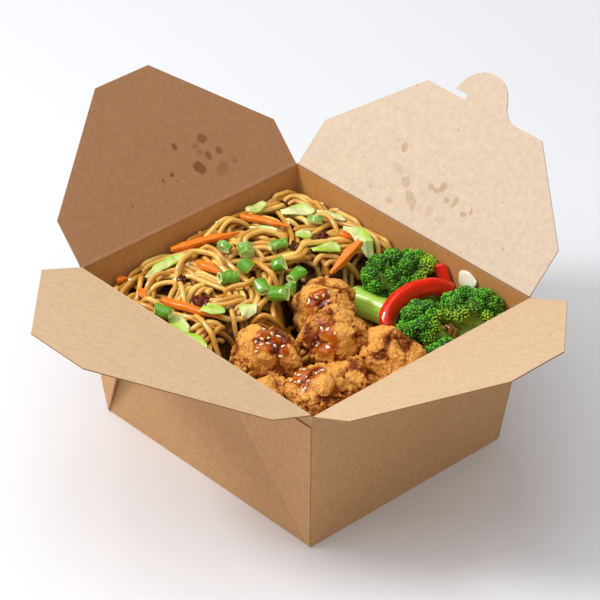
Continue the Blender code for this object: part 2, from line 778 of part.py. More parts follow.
def sprinkle(obj, rule, collection):
    """Fuse sesame seeds to the top of a piece."""
    tree = tree_of(obj)
    draw = random.Random(rule["count"] * 7 + 1)
    seeds, places = [], []
    while len(seeds) < rule["count"]:
        x = (rule["at"][0] + draw.uniform(-1, 1) * rule["spread"][0]) * MM
        y = (rule["at"][1] + draw.uniform(-1, 1) * rule["spread"][1]) * MM
        if any(math.hypot(x - a, y - b) < SESAME_PITCH for a, b in places):
            continue
        places.append((x, y))
        place, normal, _, _ = tree.ray_cast(Vector((x, y, 0.2)), Vector((0, 0, -1)))
        turn = normal.to_track_quat("Z", "Y").to_matrix().to_4x4()
        turn = turn @ Matrix.Rotation(draw.uniform(0, math.pi), 4, "Z")
        bm = bmesh.new()
        bmesh.ops.create_icosphere(bm, subdivisions=1, radius=1.0)
        pose = Matrix.Translation(place + normal * SESAME_LIFT) @ turn
        bmesh.ops.transform(bm, matrix=pose @ Matrix.Diagonal((*SESAME_SIZE, 1)), verts=bm.verts)
        seeds.append(add_mesh(bm, "seed", collection))
    boolean(obj, seeds, "UNION")
    merge_doubles(obj)
    return biggest_body(obj)


# Loose toppings: the step by which a piece is lifted off what it would cross
SETTLE_STEP = 0.2 * MM
SETTLE_TRIES = 60


def clearance_below(piece, trees):
    """Least vertical distance from a piece down to what lies under it."""
    matrix = piece.matrix_world
    points = []
    for face in piece.data.polygons:
        corners = [matrix @ piece.data.vertices[i].co for i in face.vertices]
        middle = sum(corners, Vector()) / len(corners)
        points += corners + [middle] + [(corner + middle) / 2 for corner in corners]
    least = 1.0
    for tree in trees:
        for point in points:
            hit = tree.ray_cast(point + Vector((0, 0, 0.05)), Vector((0, 0, -1)))
            if hit[0] is not None:
                least = min(least, point.z - hit[0].z)
    return least


def settle(piece, resting_on):
    """Let a piece down until it lies a hair above what is under it, then free of every body."""
    trees = [tree_of(obj) for obj in resting_on]
    fall = clearance_below(piece, trees) - GAP
    piece.data.transform(Matrix.Translation((0, 0, -fall)))
    for _ in range(SETTLE_TRIES):
        own = tree_of(piece)
        near = any(own.overlap(tree) for tree in trees)
        near = near or any(
            tree.find_nearest(vert.co, 0.6 * GAP)[0] is not None
            for tree in trees for vert in piece.data.vertices)
        if not near:
            break
        piece.data.transform(Matrix.Translation((0, 0, SETTLE_STEP)))
    return piece


def make_stick(name, start, end, width, collection, material, tree):
    """A cut stick with slightly rounded edges, laid along the slope of the heap."""
    thickness = STICK_THICKNESS * width
    a = Vector((start[0] * MM, start[1] * MM, surface_height(tree, start[0] * MM, start[1] * MM)))
    b = Vector((end[0] * MM, end[1] * MM, surface_height(tree, end[0] * MM, end[1] * MM)))
    along = (b - a).normalized()
    side = Vector((0, 0, 1)).cross(along).normalized()
    up = along.cross(side)
    bm = bmesh.new()
    bmesh.ops.create_cube(bm, size=1.0)
    for vert in bm.verts:
        narrow = STICK_END if vert.co.x > 0 else 1.0
        place = (a + b) / 2 + along * vert.co.x * (b - a).length
        vert.co = place + side * vert.co.y * width * narrow + up * vert.co.z * thickness * narrow
    bmesh.ops.bevel(bm, geom=bm.edges[:], offset=0.16 * min(width, thickness), segments=1,
                    affect="EDGES")
    bmesh.ops.triangulate(bm, faces=bm.faces)
    return add_mesh(bm, name, collection, material)


def make_leaf(name, points, width, collection, material, tree):
    """A thin wavy strip of leaf that follows the heap, both faces split alike."""
    route = smooth_path([Vector((x * MM, y * MM, 0)) for x, y in points], 3.4 * MM)
    rows = 3
    seed = sum(x + y for x, y in points)
    bm = bmesh.new()
    grid = []
    for i, place in enumerate(route):
        ahead = route[min(i + 1, len(route) - 1)] - route[max(i - 1, 0)]
        side = Vector((-ahead.y, ahead.x, 0)).normalized()
        taper = 0.35 + 0.65 * math.sin(math.pi * (i + 0.6) / (len(route) + 0.2))
        row = []
        for j in range(rows):
            across = (j / (rows - 1) - 0.5) * width * taper
            spot = place + side * across
            ripple = LEAF_WAVE * (1 + math.sin(1.3 * i + 2.1 * j + seed)) / 2
            row.append(bm.verts.new((spot.x, spot.y, surface_height(tree, spot.x, spot.y) + ripple)))
        grid.append(row)
    for i in range(len(grid) - 1):
        for j in range(rows - 1):
            bm.faces.new((grid[i][j], grid[i + 1][j], grid[i + 1][j + 1], grid[i][j + 1]))
    bmesh.ops.triangulate(bm, faces=bm.faces)
    bmesh.ops.recalc_face_normals(bm, faces=bm.faces)
    leaf = add_mesh(bm, name, collection, material)
    wall = leaf.modifiers.new("leaf", "SOLIDIFY")
    wall.thickness = LEAF_THICKNESS
    wall.offset = 1.0
    applied(leaf)
    bm = bmesh.new()
    bm.from_mesh(leaf.data)
    bmesh.ops.recalc_face_normals(bm, faces=bm.faces)
    bm.to_mesh(leaf.data)
    bm.free()
    return leaf


def make_ring(name, place, radius, length, turn, tilt, collection, material, tree):
    """A short hollow slice of scallion, open at both ends."""
    bm = bmesh.new()
    bmesh.ops.create_cone(bm, cap_ends=False, segments=10, radius1=radius * MM, radius2=radius * MM,
                          depth=length * MM)
    pose = Matrix.Rotation(math.radians(turn), 4, "Z") @ Matrix.Rotation(math.radians(tilt), 4, "Y")
    pose = pose @ Matrix.Diagonal((RING_SQUASH, 1.0, 1.0, 1.0))
    x, y = place[0] * MM, place[1] * MM
    z = surface_height(tree, x, y) + 8 * MM
    bmesh.ops.transform(bm, matrix=Matrix.Translation((x, y, z)) @ pose, verts=bm.verts)
    bmesh.ops.triangulate(bm, faces=bm.faces)
    ring = add_mesh(bm, name, collection, material)
    wall = ring.modifiers.new("wall", "SOLIDIFY")
    wall.thickness = RING_WALL
    wall.offset = -1.0
    applied(ring)
    return ring


# How much narrower the far end of a carrot stick is, and its thickness for its width
STICK_END = 0.72
STICK_THICKNESS = 0.8

# Carrot sticks in millimetres of plan: both ends and the width
CARROTS = (
    ((-19, 76), (15, 62), 4.8),
    ((26, 75), (36, 50), 4.2),
    ((-18, 58), (-16, 43), 4.6),
    ((-49, 49), (-38, 17), 4.6),
    ((49, 12), (28, 11), 4.8),
    ((53, 31), (58, 19), 3.6),
    ((-53, 78), (-47, 75), 3.6),
    ((-50, 63), (-53, 56), 3.4),
)

# Leaves of cabbage: how much they wave and how thick they are, then plan route and width
LEAF_WAVE = 1.4 * MM
LEAF_THICKNESS = 1.0 * MM
CABBAGE = (
    (((-43, 67), (-30, 69), (-14, 66)), 7.5),
    (((-53, 37), (-55, 28), (-52, 22)), 8.0),
    (((44, 64), (52, 60), (58, 54)), 11.0),
    (((57, 52), (62, 46), (63, 38)), 8.0),
    (((27, 72), (36, 72), (43, 74)), 6.0),
    (((54, 29), (57, 20), (55, 12)), 9.0),
    (((30, 27), (38, 23), (43, 20)), 8.5),
    (((21, 63), (27, 58), (30, 52)), 5.0),
    (((-28, 15), (-20, 12)), 7.0),
    (((-42, 27), (-36, 18)), 8.0),
    (((-59, 24), (-57, 15), (-58, 7)), 6.0),
    (((34, 42), (42, 38)), 6.5),
)

# Slices of scallion: their wall and how flat they are, then place, radius, length, turn and
# tilt in degrees
RING_WALL = 1.0 * MM
RING_SQUASH = 0.8
SCALLIONS = (
    ((-1, 56), 4.0, 4.0, 20, 64),
    ((4, 46), 4.0, 6.5, 60, 68),
    ((-17, 36), 3.4, 9.0, 160, 82),
    ((-5, 36), 4.0, 5.5, 100, 70),
    ((20, 40), 3.0, 9.0, -30, 84),
    ((7, 25), 4.2, 5.5, -50, 70),
    ((5, 16), 3.6, 5.0, 30, 60),
    ((11, 17.5), 3.4, 8.5, 10, 82),
    ((-11, 18), 3.6, 7.0, 70, 75),
    ((-9, 8), 4.2, 9.0, -60, 80),
    ((50, 45), 4.0, 3.5, 40, 50),
    ((-57, 38), 3.4, 8.0, 120, 82),
)


def main():
    clear_scene()
    part = new_collection("noodle_box")
    make_tray(part, make_material("tray", BOARD_COLOUR, 0.8))
    for name in FLAPS:
        make_flap(name, part, make_material(name, BOARD_COLOUR, 0.8))

    core = make_heap_core(part, make_material("noodles", NOODLE_COLOUR, 0.4))
    core_tree = tree_of(core)
    strips = []
    for name, rule in STRIPS.items():
        material = make_material(name, rule["colour"], 0.35)
        strips.append(make_strip(name, rule, 0.0, part, material))
    lumps = [make_lump(name, part) for name in LUMPS]

    placed = [core] + strips + lumps
    toppings = []
    for i, (start, end, width) in enumerate(CARROTS, 1):
        piece = make_stick("carrot_%d" % i, start, end, width * MM, part,
                           make_material("carrot_%d" % i, CARROT_COLOUR, 0.45), core_tree)
        toppings.append(settle(piece, placed + toppings))
    for i, (points, width) in enumerate(CABBAGE, 1):
        piece = make_leaf("cabbage_%d" % i, points, width * MM, part,
                          make_material("cabbage_%d" % i, CABBAGE_COLOUR, 0.45), core_tree)
        toppings.append(settle(piece, placed + toppings))
    for i, (place, radius, length, turn, tilt) in enumerate(SCALLIONS, 1):
        piece = make_ring("scallion_%d" % i, place, radius, length, turn, tilt, part,
                          make_material("scallion_%d" % i, SCALLION_COLOUR, 0.4), core_tree)
        toppings.append(settle(piece, placed + toppings))
    fuse_strands(core, strips + lumps + toppings, part)


main()
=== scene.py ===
"""Looks of an open kraft board takeaway box of noodles, fried chicken and vegetables.

Metres, +Z up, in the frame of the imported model. Plan routes and small sizes are in millimetres,
as in the construction of the box.
"""

import json
import math
import random

import bmesh
import bpy
import numpy as np
from mathutils import Matrix, Vector, noise
from mathutils.bvhtree import BVHTree

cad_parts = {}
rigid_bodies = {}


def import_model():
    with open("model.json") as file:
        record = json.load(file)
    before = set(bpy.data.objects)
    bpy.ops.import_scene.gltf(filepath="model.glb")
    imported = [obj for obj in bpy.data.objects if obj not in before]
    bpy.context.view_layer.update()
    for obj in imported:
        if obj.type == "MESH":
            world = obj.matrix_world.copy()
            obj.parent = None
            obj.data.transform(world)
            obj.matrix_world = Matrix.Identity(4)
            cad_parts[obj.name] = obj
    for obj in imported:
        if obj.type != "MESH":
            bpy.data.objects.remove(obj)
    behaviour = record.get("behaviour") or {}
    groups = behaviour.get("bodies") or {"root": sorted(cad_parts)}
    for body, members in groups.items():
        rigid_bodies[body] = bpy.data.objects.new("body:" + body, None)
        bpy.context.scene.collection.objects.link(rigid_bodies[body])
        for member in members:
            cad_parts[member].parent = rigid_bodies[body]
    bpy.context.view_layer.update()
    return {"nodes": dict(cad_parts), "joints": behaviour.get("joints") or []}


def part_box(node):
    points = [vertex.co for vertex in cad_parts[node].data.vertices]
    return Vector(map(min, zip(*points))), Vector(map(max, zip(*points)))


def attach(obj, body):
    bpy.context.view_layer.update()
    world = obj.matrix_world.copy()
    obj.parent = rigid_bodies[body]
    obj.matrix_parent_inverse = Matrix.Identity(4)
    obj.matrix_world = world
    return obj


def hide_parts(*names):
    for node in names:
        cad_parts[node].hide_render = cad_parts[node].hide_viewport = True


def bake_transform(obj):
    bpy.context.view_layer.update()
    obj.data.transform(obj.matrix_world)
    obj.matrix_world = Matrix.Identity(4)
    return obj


bl_info = {
    "name": "Noodle takeaway box",
    "version": (1, 0, 0),
    "blender": (4, 5, 0),
    "location": "3D View > Sidebar > Noodle box",
    "description": "Dresses an open board box of noodles, fried chicken and vegetables",
    "category": "Object",
}

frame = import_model()
NODES = frame["nodes"]
JOINTS = {joint["child"]: joint for joint in frame["joints"]}
MM = 0.001

# Vector noise starts from the time of day unless it is given a seed
NOISE_SEED = 3
noise.seed_set(NOISE_SEED)

# The box at its rim and how far its walls lean in towards the base, in millimetres
HALF_RIM = (71.95, 82.15)
RIM_HEIGHT = 85.5
TAPER = 8.9
BOARD = 0.6

FLAP_BODIES = {"flap_front_left": "front_left_flap", "flap_front_right": "front_right_flap",
               "flap_back_left": "back_left_flap", "flap_back_right": "back_right_flap"}


# Helpers for colours, nodes and meshes

def linear(hex_colour):
    """Linear RGB values of an sRGB hex colour."""
    values = [int(hex_colour[i:i + 2], 16) / 255 for i in (0, 2, 4)]
    return tuple(c / 12.92 if c <= 0.04045 else ((c + 0.055) / 1.055) ** 2.4 for c in values)


def shaded(colour, share):
    """A colour made darker or lighter by a share, with no value above 1."""
    return tuple(min(c * share, 1.0) for c in colour)


def add(tree, kind, sockets=None, stops=(), **settings):
    """Add a node. Sockets, by name or number, take a link or a value; stops colour a ramp."""
    node = tree.nodes.new(kind)
    for name, value in settings.items():
        setattr(node, name, value)
    for key, value in (sockets or {}).items():
        if isinstance(value, bpy.types.NodeSocket):
            tree.links.new(value, node.inputs[key])
        else:
            node.inputs[key].default_value = value
    for i, (place, colour) in enumerate(stops):
        elements = node.color_ramp.elements
        element = elements[i] if i < 2 else elements.new(place)
        element.position = place
        element.color = (*colour, 1.0)
    return node


def new_material(name):
    """A material with only its output, and that material's tree."""
    material = bpy.data.materials.new(name)
    material.use_nodes = True
    tree = material.node_tree
    tree.nodes.clear()
    return material, tree


def finished(tree, shader, colour, height=None, depth=0.1 * MM, **numbers):
    """Link a surface to the output, with its relief, after setting the shader's own values."""
    sockets = {"Base Color": colour}
    sockets.update({name.replace("_", " "): value for name, value in numbers.items()})
    if height is not None:
        bump = add(tree, "ShaderNodeBump", {"Height": height, "Distance": depth, "Strength": 1.0})
        sockets["Normal"] = bump.outputs[0]
    surface = add(tree, shader, sockets)
    add(tree, "ShaderNodeOutputMaterial", {"Surface": surface.outputs[0]})


def paint(obj, material):
    """Give a piece one material and no other."""
    obj.data.materials.clear()
    obj.data.materials.append(material)


def object_from(name, mesh, material=None):
    """An object at the origin that shows a mesh."""
    obj = bpy.data.objects.new(name, mesh)
    bpy.context.scene.collection.objects.link(obj)
    if material:
        paint(obj, material)
    return obj


def object_of(bm, name, material=None):
    """An object at the origin that shows what was built, which is then let go."""
    mesh = bpy.data.meshes.new(name)
    bm.to_mesh(mesh)
    bm.free()
    return object_from(name, mesh, material)


def applied(obj):
    """Turn what an object's modifiers give into its mesh."""
    graph = bpy.context.evaluated_depsgraph_get()
    mesh = bpy.data.meshes.new_from_object(obj.evaluated_get(graph))
    obj.modifiers.clear()
    old = obj.data
    obj.data = mesh
    if isinstance(old, bpy.types.Mesh):
        bpy.data.meshes.remove(old)
    return obj


def merged_copy(node, name):
    """A copy of a solid's mesh, with its loose triangles joined."""
    bm = bmesh.new()
    bm.from_mesh(NODES[node].data)
    bmesh.ops.remove_doubles(bm, verts=bm.verts, dist=0.01 * MM)
    return object_of(bm, name)


def evened(obj, cell, rounding=0):
    """Give a closed piece even small faces, and round its corners off in so many steps."""
    remesh = obj.modifiers.new("even", "REMESH")
    remesh.mode = "VOXEL"
    remesh.voxel_size = cell
    remesh.use_smooth_shade = True
    if rounding:
        smooth = obj.modifiers.new("rounded", "SMOOTH")
        smooth.factor = 0.5
        smooth.iterations = rounding
    return applied(obj)


def fine_copy(node, name, cell, rounding):
    """A copy of a solid in an even fine mesh, its corners rounded off."""
    return evened(merged_copy(node, name), cell, rounding)


def nodes_of(kind):
    """The solids of one kind of food, in order of their names."""
    return sorted(name for name in NODES if name.startswith(kind))


def points_of(mesh, kind="co"):
    """Places or normals of a mesh's corners, as an array."""
    source = mesh.vertices if kind == "co" else mesh.vertex_normals
    values = np.zeros(len(mesh.vertices) * 3)
    source.foreach_get(kind, values)
    return values.reshape(-1, 3)


def move_points(mesh, places):
    mesh.vertices.foreach_set("co", np.asarray(places, dtype=float).ravel())
    mesh.update()


def store(mesh, name, values):
    """Keep a number for each corner of a mesh."""
    attribute = mesh.attributes.get(name) or mesh.attributes.new(name, "FLOAT", "POINT")
    attribute.data.foreach_set("value", np.asarray(values, dtype=np.float32))


def ease(low, high, value):
    """0 below low, 1 above high, smooth between."""
    share = np.clip((value - low) / (high - low), 0.0, 1.0)
    return share * share * (3 - 2 * share)


def ruffled(mesh, size, depth, seed):
    """Push a mesh in and out by slow noise, in millimetres."""
    places, normals = points_of(mesh), points_of(mesh, "vector")
    push = np.array([noise.noise(Vector(spot) / size + Vector((seed, seed, 0))) for spot in places / MM])
    move_points(mesh, places + normals * (push * depth * MM)[:, None])


CURVE_STEPS = 24


def smooth_path(points, spacing):
    """Evenly spaced places along a smooth curve through the given points."""
    ends = [Vector(p) for p in points]
    ends = [2 * ends[0] - ends[1]] + ends + [2 * ends[-1] - ends[-2]]
    fine = []
    for a, b, c, d in zip(ends, ends[1:], ends[2:], ends[3:]):
        for step in range(CURVE_STEPS):
            t = step / CURVE_STEPS
            fine.append(0.5 * (2 * b + (c - a) * t + (2 * a - 5 * b + 4 * c - d) * t * t
                               + (3 * b - a - 3 * c + d) * t ** 3))
    fine.append(ends[-2])
    fine = np.array(fine)
    along = np.concatenate(([0.0], np.cumsum(np.linalg.norm(np.diff(fine, axis=0), axis=1))))
    even = np.linspace(0.0, along[-1], max(int(along[-1] / spacing), 2))
    columns = [np.interp(even, along, fine[:, k]) for k in range(fine.shape[1])]
    return [Vector(place) for place in zip(*columns)]


def tree_of(objects):
    """One search tree for the meshes of several objects."""
    places, faces = [], []
    for obj in objects:
        start = len(places)
        places += [vert.co.copy() for vert in obj.data.vertices]
        faces += [[start + i for i in face.vertices] for face in obj.data.polygons]
    return BVHTree.FromPolygons(places, faces)


def half_width(axis, height):
    """Half the outside width of the box at a height, in millimetres."""
    return HALF_RIM[axis] - TAPER * (1 - height / RIM_HEIGHT)


def kept_inside(mesh, clear):
    """Hold a mesh inside the walls of the box, so many millimetres clear of them."""
    places = points_of(mesh) / MM
    for axis in (0, 1):
        limit = half_width(axis, places[:, 2]) - BOARD - clear
        places[:, axis] = np.clip(places[:, axis], -limit, limit)
    move_points(mesh, places * MM)


FOOD_CLEAR = 0.1


def finish_food(obj, slot, *replaced):
    """Give a piece of food its body and hide the solids that it stands for; the slot it is given is not
    used.
    """
    kept_inside(obj.data, FOOD_CLEAR)
    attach(obj, "box")
    if replaced:
        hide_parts(*replaced)


# Geometry Nodes trees

def new_tree(name, inputs):
    """A Geometry Nodes tree with named inputs, its input node and its geometry output."""
    tree = bpy.data.node_groups.new(name, "GeometryNodeTree")
    for label, kind, default in inputs:
        socket = tree.interface.new_socket(name=label, in_out="INPUT", socket_type=kind)
        if default is not None:
            socket.default_value = default
    tree.interface.new_socket(name="Geometry", in_out="OUTPUT", socket_type="NodeSocketGeometry")
    return tree, add(tree, "NodeGroupInput").outputs


def end_tree(tree, geometry, material):
    """Make the instances real, set the material and end the tree."""
    real = add(tree, "GeometryNodeRealizeInstances", {0: geometry})
    smooth = add(tree, "GeometryNodeSetShadeSmooth", {0: real.outputs[0]})
    painted = add(tree, "GeometryNodeSetMaterial", {0: smooth.outputs[0], "Material": material})
    add(tree, "NodeGroupOutput", {0: painted.outputs[0]})


def strand_tree():
    """Round strands along the edges of a mesh, as thick as its thickness attribute says."""
    tree, given = new_tree("noodle_strands", (
        ("Geometry", "NodeSocketGeometry", None),
        ("Sides", "NodeSocketInt", 9),
        ("Material", "NodeSocketMaterial", None)))
    path = add(tree, "GeometryNodeMeshToCurve", {0: given["Geometry"]})
    thickness = add(tree, "GeometryNodeInputNamedAttribute", {"Name": "thickness"}, data_type="FLOAT")
    sized = add(tree, "GeometryNodeSetCurveRadius", {0: path.outputs[0], "Radius": thickness.outputs[0]})
    ring = add(tree, "GeometryNodeCurvePrimitiveCircle", {"Resolution": given["Sides"], "Radius": 1.0})
    tube = add(tree, "GeometryNodeCurveToMesh",
               {"Curve": sized.outputs[0], "Profile Curve": ring.outputs[0], "Fill Caps": True})
    if "Scale" in tube.inputs:
        tree.links.new(thickness.outputs[0], tube.inputs["Scale"])
    end_tree(tree, tube.outputs[0], given["Material"])
    return tree


def strewn_tree():
    """Small rounded bodies strewn over a surface where an attribute says so."""
    tree, given = new_tree("strewn_bodies", (
        ("Geometry", "NodeSocketGeometry", None),
        ("Where", "NodeSocketString", ""),
        ("Spacing", "NodeSocketFloat", 1.0 * MM),
        ("Density", "NodeSocketFloat", 1.0e6),
        ("Size", "NodeSocketVector", (1.0, 1.0, 1.0)),
        ("Least", "NodeSocketFloat", 0.8),
        ("Most", "NodeSocketFloat", 1.2),
        ("Lift", "NodeSocketFloat", 0.0),
        ("Roundness", "NodeSocketInt", 1),
        ("Seed", "NodeSocketInt", 1),
        ("Material", "NodeSocketMaterial", None)))
    where = add(tree, "GeometryNodeInputNamedAttribute", {"Name": given["Where"]}, data_type="FLOAT")
    strewn = add(tree, "GeometryNodeDistributePointsOnFaces",
                 {"Mesh": given["Geometry"], "Distance Min": given["Spacing"],
                  "Density Max": given["Density"], "Density Factor": where.outputs[0],
                  "Seed": given["Seed"]}, distribute_method="POISSON")
    raised = add(tree, "ShaderNodeVectorMath", {0: strewn.outputs["Normal"], "Scale": given["Lift"]},
                 operation="SCALE")
    placed = add(tree, "GeometryNodeSetPosition",
                 {"Geometry": strewn.outputs["Points"], "Offset": raised.outputs[0]})
    body = add(tree, "GeometryNodeMeshIcoSphere", {"Radius": 1.0, "Subdivisions": given["Roundness"]})
    grown = add(tree, "FunctionNodeRandomValue",
                {2: given["Least"], 3: given["Most"], "Seed": given["Seed"]}, data_type="FLOAT")
    size = add(tree, "ShaderNodeVectorMath", {0: given["Size"], "Scale": grown.outputs[1]},
               operation="SCALE")
    spin = add(tree, "FunctionNodeRandomValue", {2: 0.0, 3: 2 * math.pi, "Seed": 7}, data_type="FLOAT")
    turned = add(tree, "FunctionNodeAxisAngleToRotation",
                 {"Axis": (0.0, 0.0, 1.0), "Angle": spin.outputs[1]})
    facing = add(tree, "FunctionNodeRotateRotation",
                 {0: strewn.outputs["Rotation"], 1: turned.outputs[0]}, rotation_space="LOCAL")
    copies = add(tree, "GeometryNodeInstanceOnPoints",
                 {"Points": placed.outputs[0], "Instance": body.outputs[0],
                  "Rotation": facing.outputs[0], "Scale": size.outputs[0]})
    shade = add(tree, "FunctionNodeRandomValue", {2: 0.0, 3: 1.0, "Seed": 3}, data_type="FLOAT")
    toned = add(tree, "GeometryNodeStoreNamedAttribute",
                {0: copies.outputs[0], "Name": "tone", "Value": shade.outputs[1]},
                data_type="FLOAT", domain="INSTANCE")
    end_tree(tree, toned.outputs[0], given["Material"])
    return tree


def grown(source, name, tree, **inputs):
    """The mesh that a Geometry Nodes tree makes of an object, as a new piece."""
    piece = source.copy()
    piece.data = source.data.copy()
    piece.name = name
    bpy.context.scene.collection.objects.link(piece)
    modifier = piece.modifiers.new("nodes", "NODES")
    modifier.node_group = tree
    for item in tree.interface.items_tree:
        if item.in_out == "INPUT" and item.name in inputs:
            modifier[item.identifier] = inputs[item.name]
    return applied(piece)


# Sizes and colours that a user would change

def colour_property(name, description, hex_colour):
    return bpy.props.FloatVectorProperty(name=name, description=description, subtype="COLOR",
                                         default=linear(hex_colour), min=0.0, max=1.0, size=3)


def length_property(name, description, default):
    return bpy.props.FloatProperty(name=name, description=description, default=default,
                                   subtype="DISTANCE", unit="LENGTH", min=0.0)


class NoodleBoxBoard(bpy.types.PropertyGroup):
    # Each piece of board has its own colour, as painted light and shade: the back left flap, which faces
    # away from the side light, darker; the back right flap, which faces it, paler; the tray darker and
    # browner than the front flaps
    tray: colour_property("Tray", "Colour of the board of the tray", "CA9A6B")
    flap_front_left: colour_property("Front left flap", "Colour of its board", "CEAF8A")
    flap_front_right: colour_property("Front right flap", "Colour of its board", "CEAF8A")
    flap_back_left: colour_property("Back left flap", "Colour of its board", "AC7C56")
    flap_back_right: colour_property("Back right flap", "Colour of its board", "CBB69F")
    edge: colour_property("Cut edge", "Colour of the cut edges", "9A6A4A")
    stain: colour_property("Grease", "Colour that the grease spots tint the board with", "BFA088")
    strip: length_property("Crease strip", "How far a crease reaches along each board", 1.4 * MM)


class NoodleBoxNoodles(bpy.types.PropertyGroup):
    light: colour_property("Light", "Colour of the palest strands", "FFD672")
    dark: colour_property("Dark", "Colour of the strands that took up most sauce", "CC8826")
    # The colour underneath is sauce and also painted shade for the depth of the heap
    deep: colour_property("Underneath", "Colour of the sauce under the strands", "3A1A08")
    radius: length_property("Radius", "Half the thickness of a strand", 1.36 * MM)
    strands: bpy.props.IntProperty(name="Strands", description="Strands under the top layer",
                                   default=560, min=0)
    sides: bpy.props.IntProperty(name="Sides", description="Flat sides round a strand",
                                 default=9, min=3)
    seed: bpy.props.IntProperty(name="Seed", description="Seed of the tangle", default=4)


class NoodleBoxChicken(bpy.types.PropertyGroup):
    tips: colour_property("Tips", "Colour of the raised crust", "EBA84E")
    crust: colour_property("Crust", "Colour of the fried crust", "AC5C18")
    # The crust's colour runs by height from clefts to tips; the darkening down in the clefts is painted
    # shade
    clefts: colour_property("Clefts", "Colour down in the crust", "5E2608")
    glaze: colour_property("Glaze", "Colour of the glaze", "C98A4A")
    cell: length_property("Mesh cell", "Size of the faces of the crust", 0.45 * MM)


class NoodleBoxGreens(bpy.types.PropertyGroup):
    buds: colour_property("Buds", "Colour of the broccoli's buds", "4A8A1E")
    young: colour_property("Young buds", "Colour of its palest buds", "A6C82A")
    stem: colour_property("Stem", "Colour of its stems", "A2C94C")
    bud_gap: length_property("Bud spacing", "Least distance between buds", 1.15 * MM)


class NoodleBoxToppings(bpy.types.PropertyGroup):
    pepper: colour_property("Pepper", "Colour of the red pepper", "EA2C10")
    onion: colour_property("Onion", "Colour of the onion", "EFE9D0")
    carrot: colour_property("Carrot", "Colour of the carrot", "F5821C")
    leaf: colour_property("Cabbage", "Colour of the green of the cabbage", "A9CC3E")
    rib: colour_property("Cabbage rib", "Colour of its pale ribs", "DDE2A2")
    skin: colour_property("Scallion skin", "Colour of the outside of the scallion", "609E22")
    flesh: colour_property("Scallion flesh", "Colour of its inside", "CDE688")
    sauce: colour_property("Sauce", "Colour of the thick sauce", "3C1005")
    sesame: colour_property("Sesame", "Colour of the sesame seeds", "F3E0B5")
    cell: length_property("Mesh cell", "Size of the faces of the small pieces", 0.35 * MM)


class NoodleBoxStage(bpy.types.PropertyGroup):
    floor: colour_property("Floor", "Colour of the floor", "E5E6EA")
    key: bpy.props.FloatProperty(name="Key light", description="Power of the side light in watts",
                                 default=14.0, min=0.0)
    top: bpy.props.FloatProperty(name="Top light", description="Power of the overhead light in watts",
                                 default=12.5, min=0.0)
    fill: bpy.props.FloatProperty(name="Fill", description="Strength of the light all round",
                                  default=0.62, min=0.0)


class NoodleBoxSettings(bpy.types.PropertyGroup):
    board: bpy.props.PointerProperty(type=NoodleBoxBoard, name="Board", description="The box")
    noodles: bpy.props.PointerProperty(type=NoodleBoxNoodles, name="Noodles",
                                       description="The heap of noodles")
    chicken: bpy.props.PointerProperty(type=NoodleBoxChicken, name="Chicken",
                                       description="The fried chicken")
    greens: bpy.props.PointerProperty(type=NoodleBoxGreens, name="Broccoli",
                                      description="The broccoli")
    toppings: bpy.props.PointerProperty(type=NoodleBoxToppings, name="Toppings",
                                        description="The small vegetables, sauce and seeds")
    stage: bpy.props.PointerProperty(type=NoodleBoxStage, name="Stage",
                                     description="The floor, the lights and the camera")


# The box

# Grease spots: place along the crease from its middle and up from it, length and width, all in
# millimetres, turn in degrees and strength. They follow the spots that show in the photograph
GREASE = {
    "flap_back_left": (
        (-26, 32, 6, 5, 30, 0.8), (-20, 30, 4, 3, 10, 0.4), (-21, 26, 4, 4, 0, 0.4),
        (-25, 23, 5, 4, 90, 0.8), (-32, 23, 4, 4, 0, 0.8), (-17, 19, 8, 6, 50, 1.0),
        (-29, 14, 9, 6, 150, 0.4), (-38, 15, 4, 3, 120, 0.4), (-9, 34, 4, 3, 90, 1.0),
        (0, 22, 3, 2, 0, 1.0), (6, 21, 2, 2, 0, 0.8), (-1, 18, 2, 1, 60, 0.6),
        (29, 16, 2, 1, 100, 1.0), (10, 11, 2, 1, 90, 0.5), (19, 12, 2, 1, 100, 0.4)),
    "flap_back_right": (
        (29, 33, 6, 4, 60, 0.5), (17, 18, 6, 5, 20, 0.4), (9, 12, 11, 5, 30, 0.4),
        (25, 22, 8, 4, 30, 0.2), (20, 6, 5, 3, 170, 0.4), (2, 22, 5, 3, 10, 0.5),
        (-2, 22, 4, 3, 160, 0.5), (-4, 25, 5, 4, 70, 0.5), (-10, 20, 4, 3, 0, 0.5),
        (-15, 21, 6, 3, 90, 0.5), (-23, 18, 4, 3, 170, 0.5), (-22, 18, 1, 1, 0, 0.9),
        (-26, 21, 4, 2, 70, 0.4), (-4, 11, 6, 5, 170, 0.2), (-13, 10, 7, 4, 160, 0.2),
        (5, 8, 4, 3, 0, 0.3)),
}

# How far a spot reaches for its length, how strongly the strongest tints, and how ragged it is
GREASE_REACH = 0.58
GREASE_TINT = 0.85
GREASE_RAGGED = 1.6 * MM

# Slit that takes the tab, on the front left flap, in two stretches: from and to along the crease,
# from its end, and up from it, in millimetres, its width, and how dark it is
SLIT = ((62.0, 88.0, 63.3), (86.5, 108.0, 64.7))
SLIT_WIDTH = 0.45
SLIT_TINT = 0.22

# Half the width of the band along a cut edge that shows the middle of the board
EDGE_HALF = 0.27 * MM


def flap_frame(node):
    """Pose of a flap: X along its crease, Y up the flap, Z away from the food."""
    joint = JOINTS[FLAP_BODIES[node]]
    origin, along = Vector(joint["pos_m"]), Vector(joint["axis"])
    low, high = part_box(node)
    reach = (low + high) / 2 - origin
    away = (reach - along * reach.dot(along)).normalized()
    turn = Matrix((along, away, along.cross(away))).transposed()
    return Matrix.Translation(origin) @ turn.to_4x4()


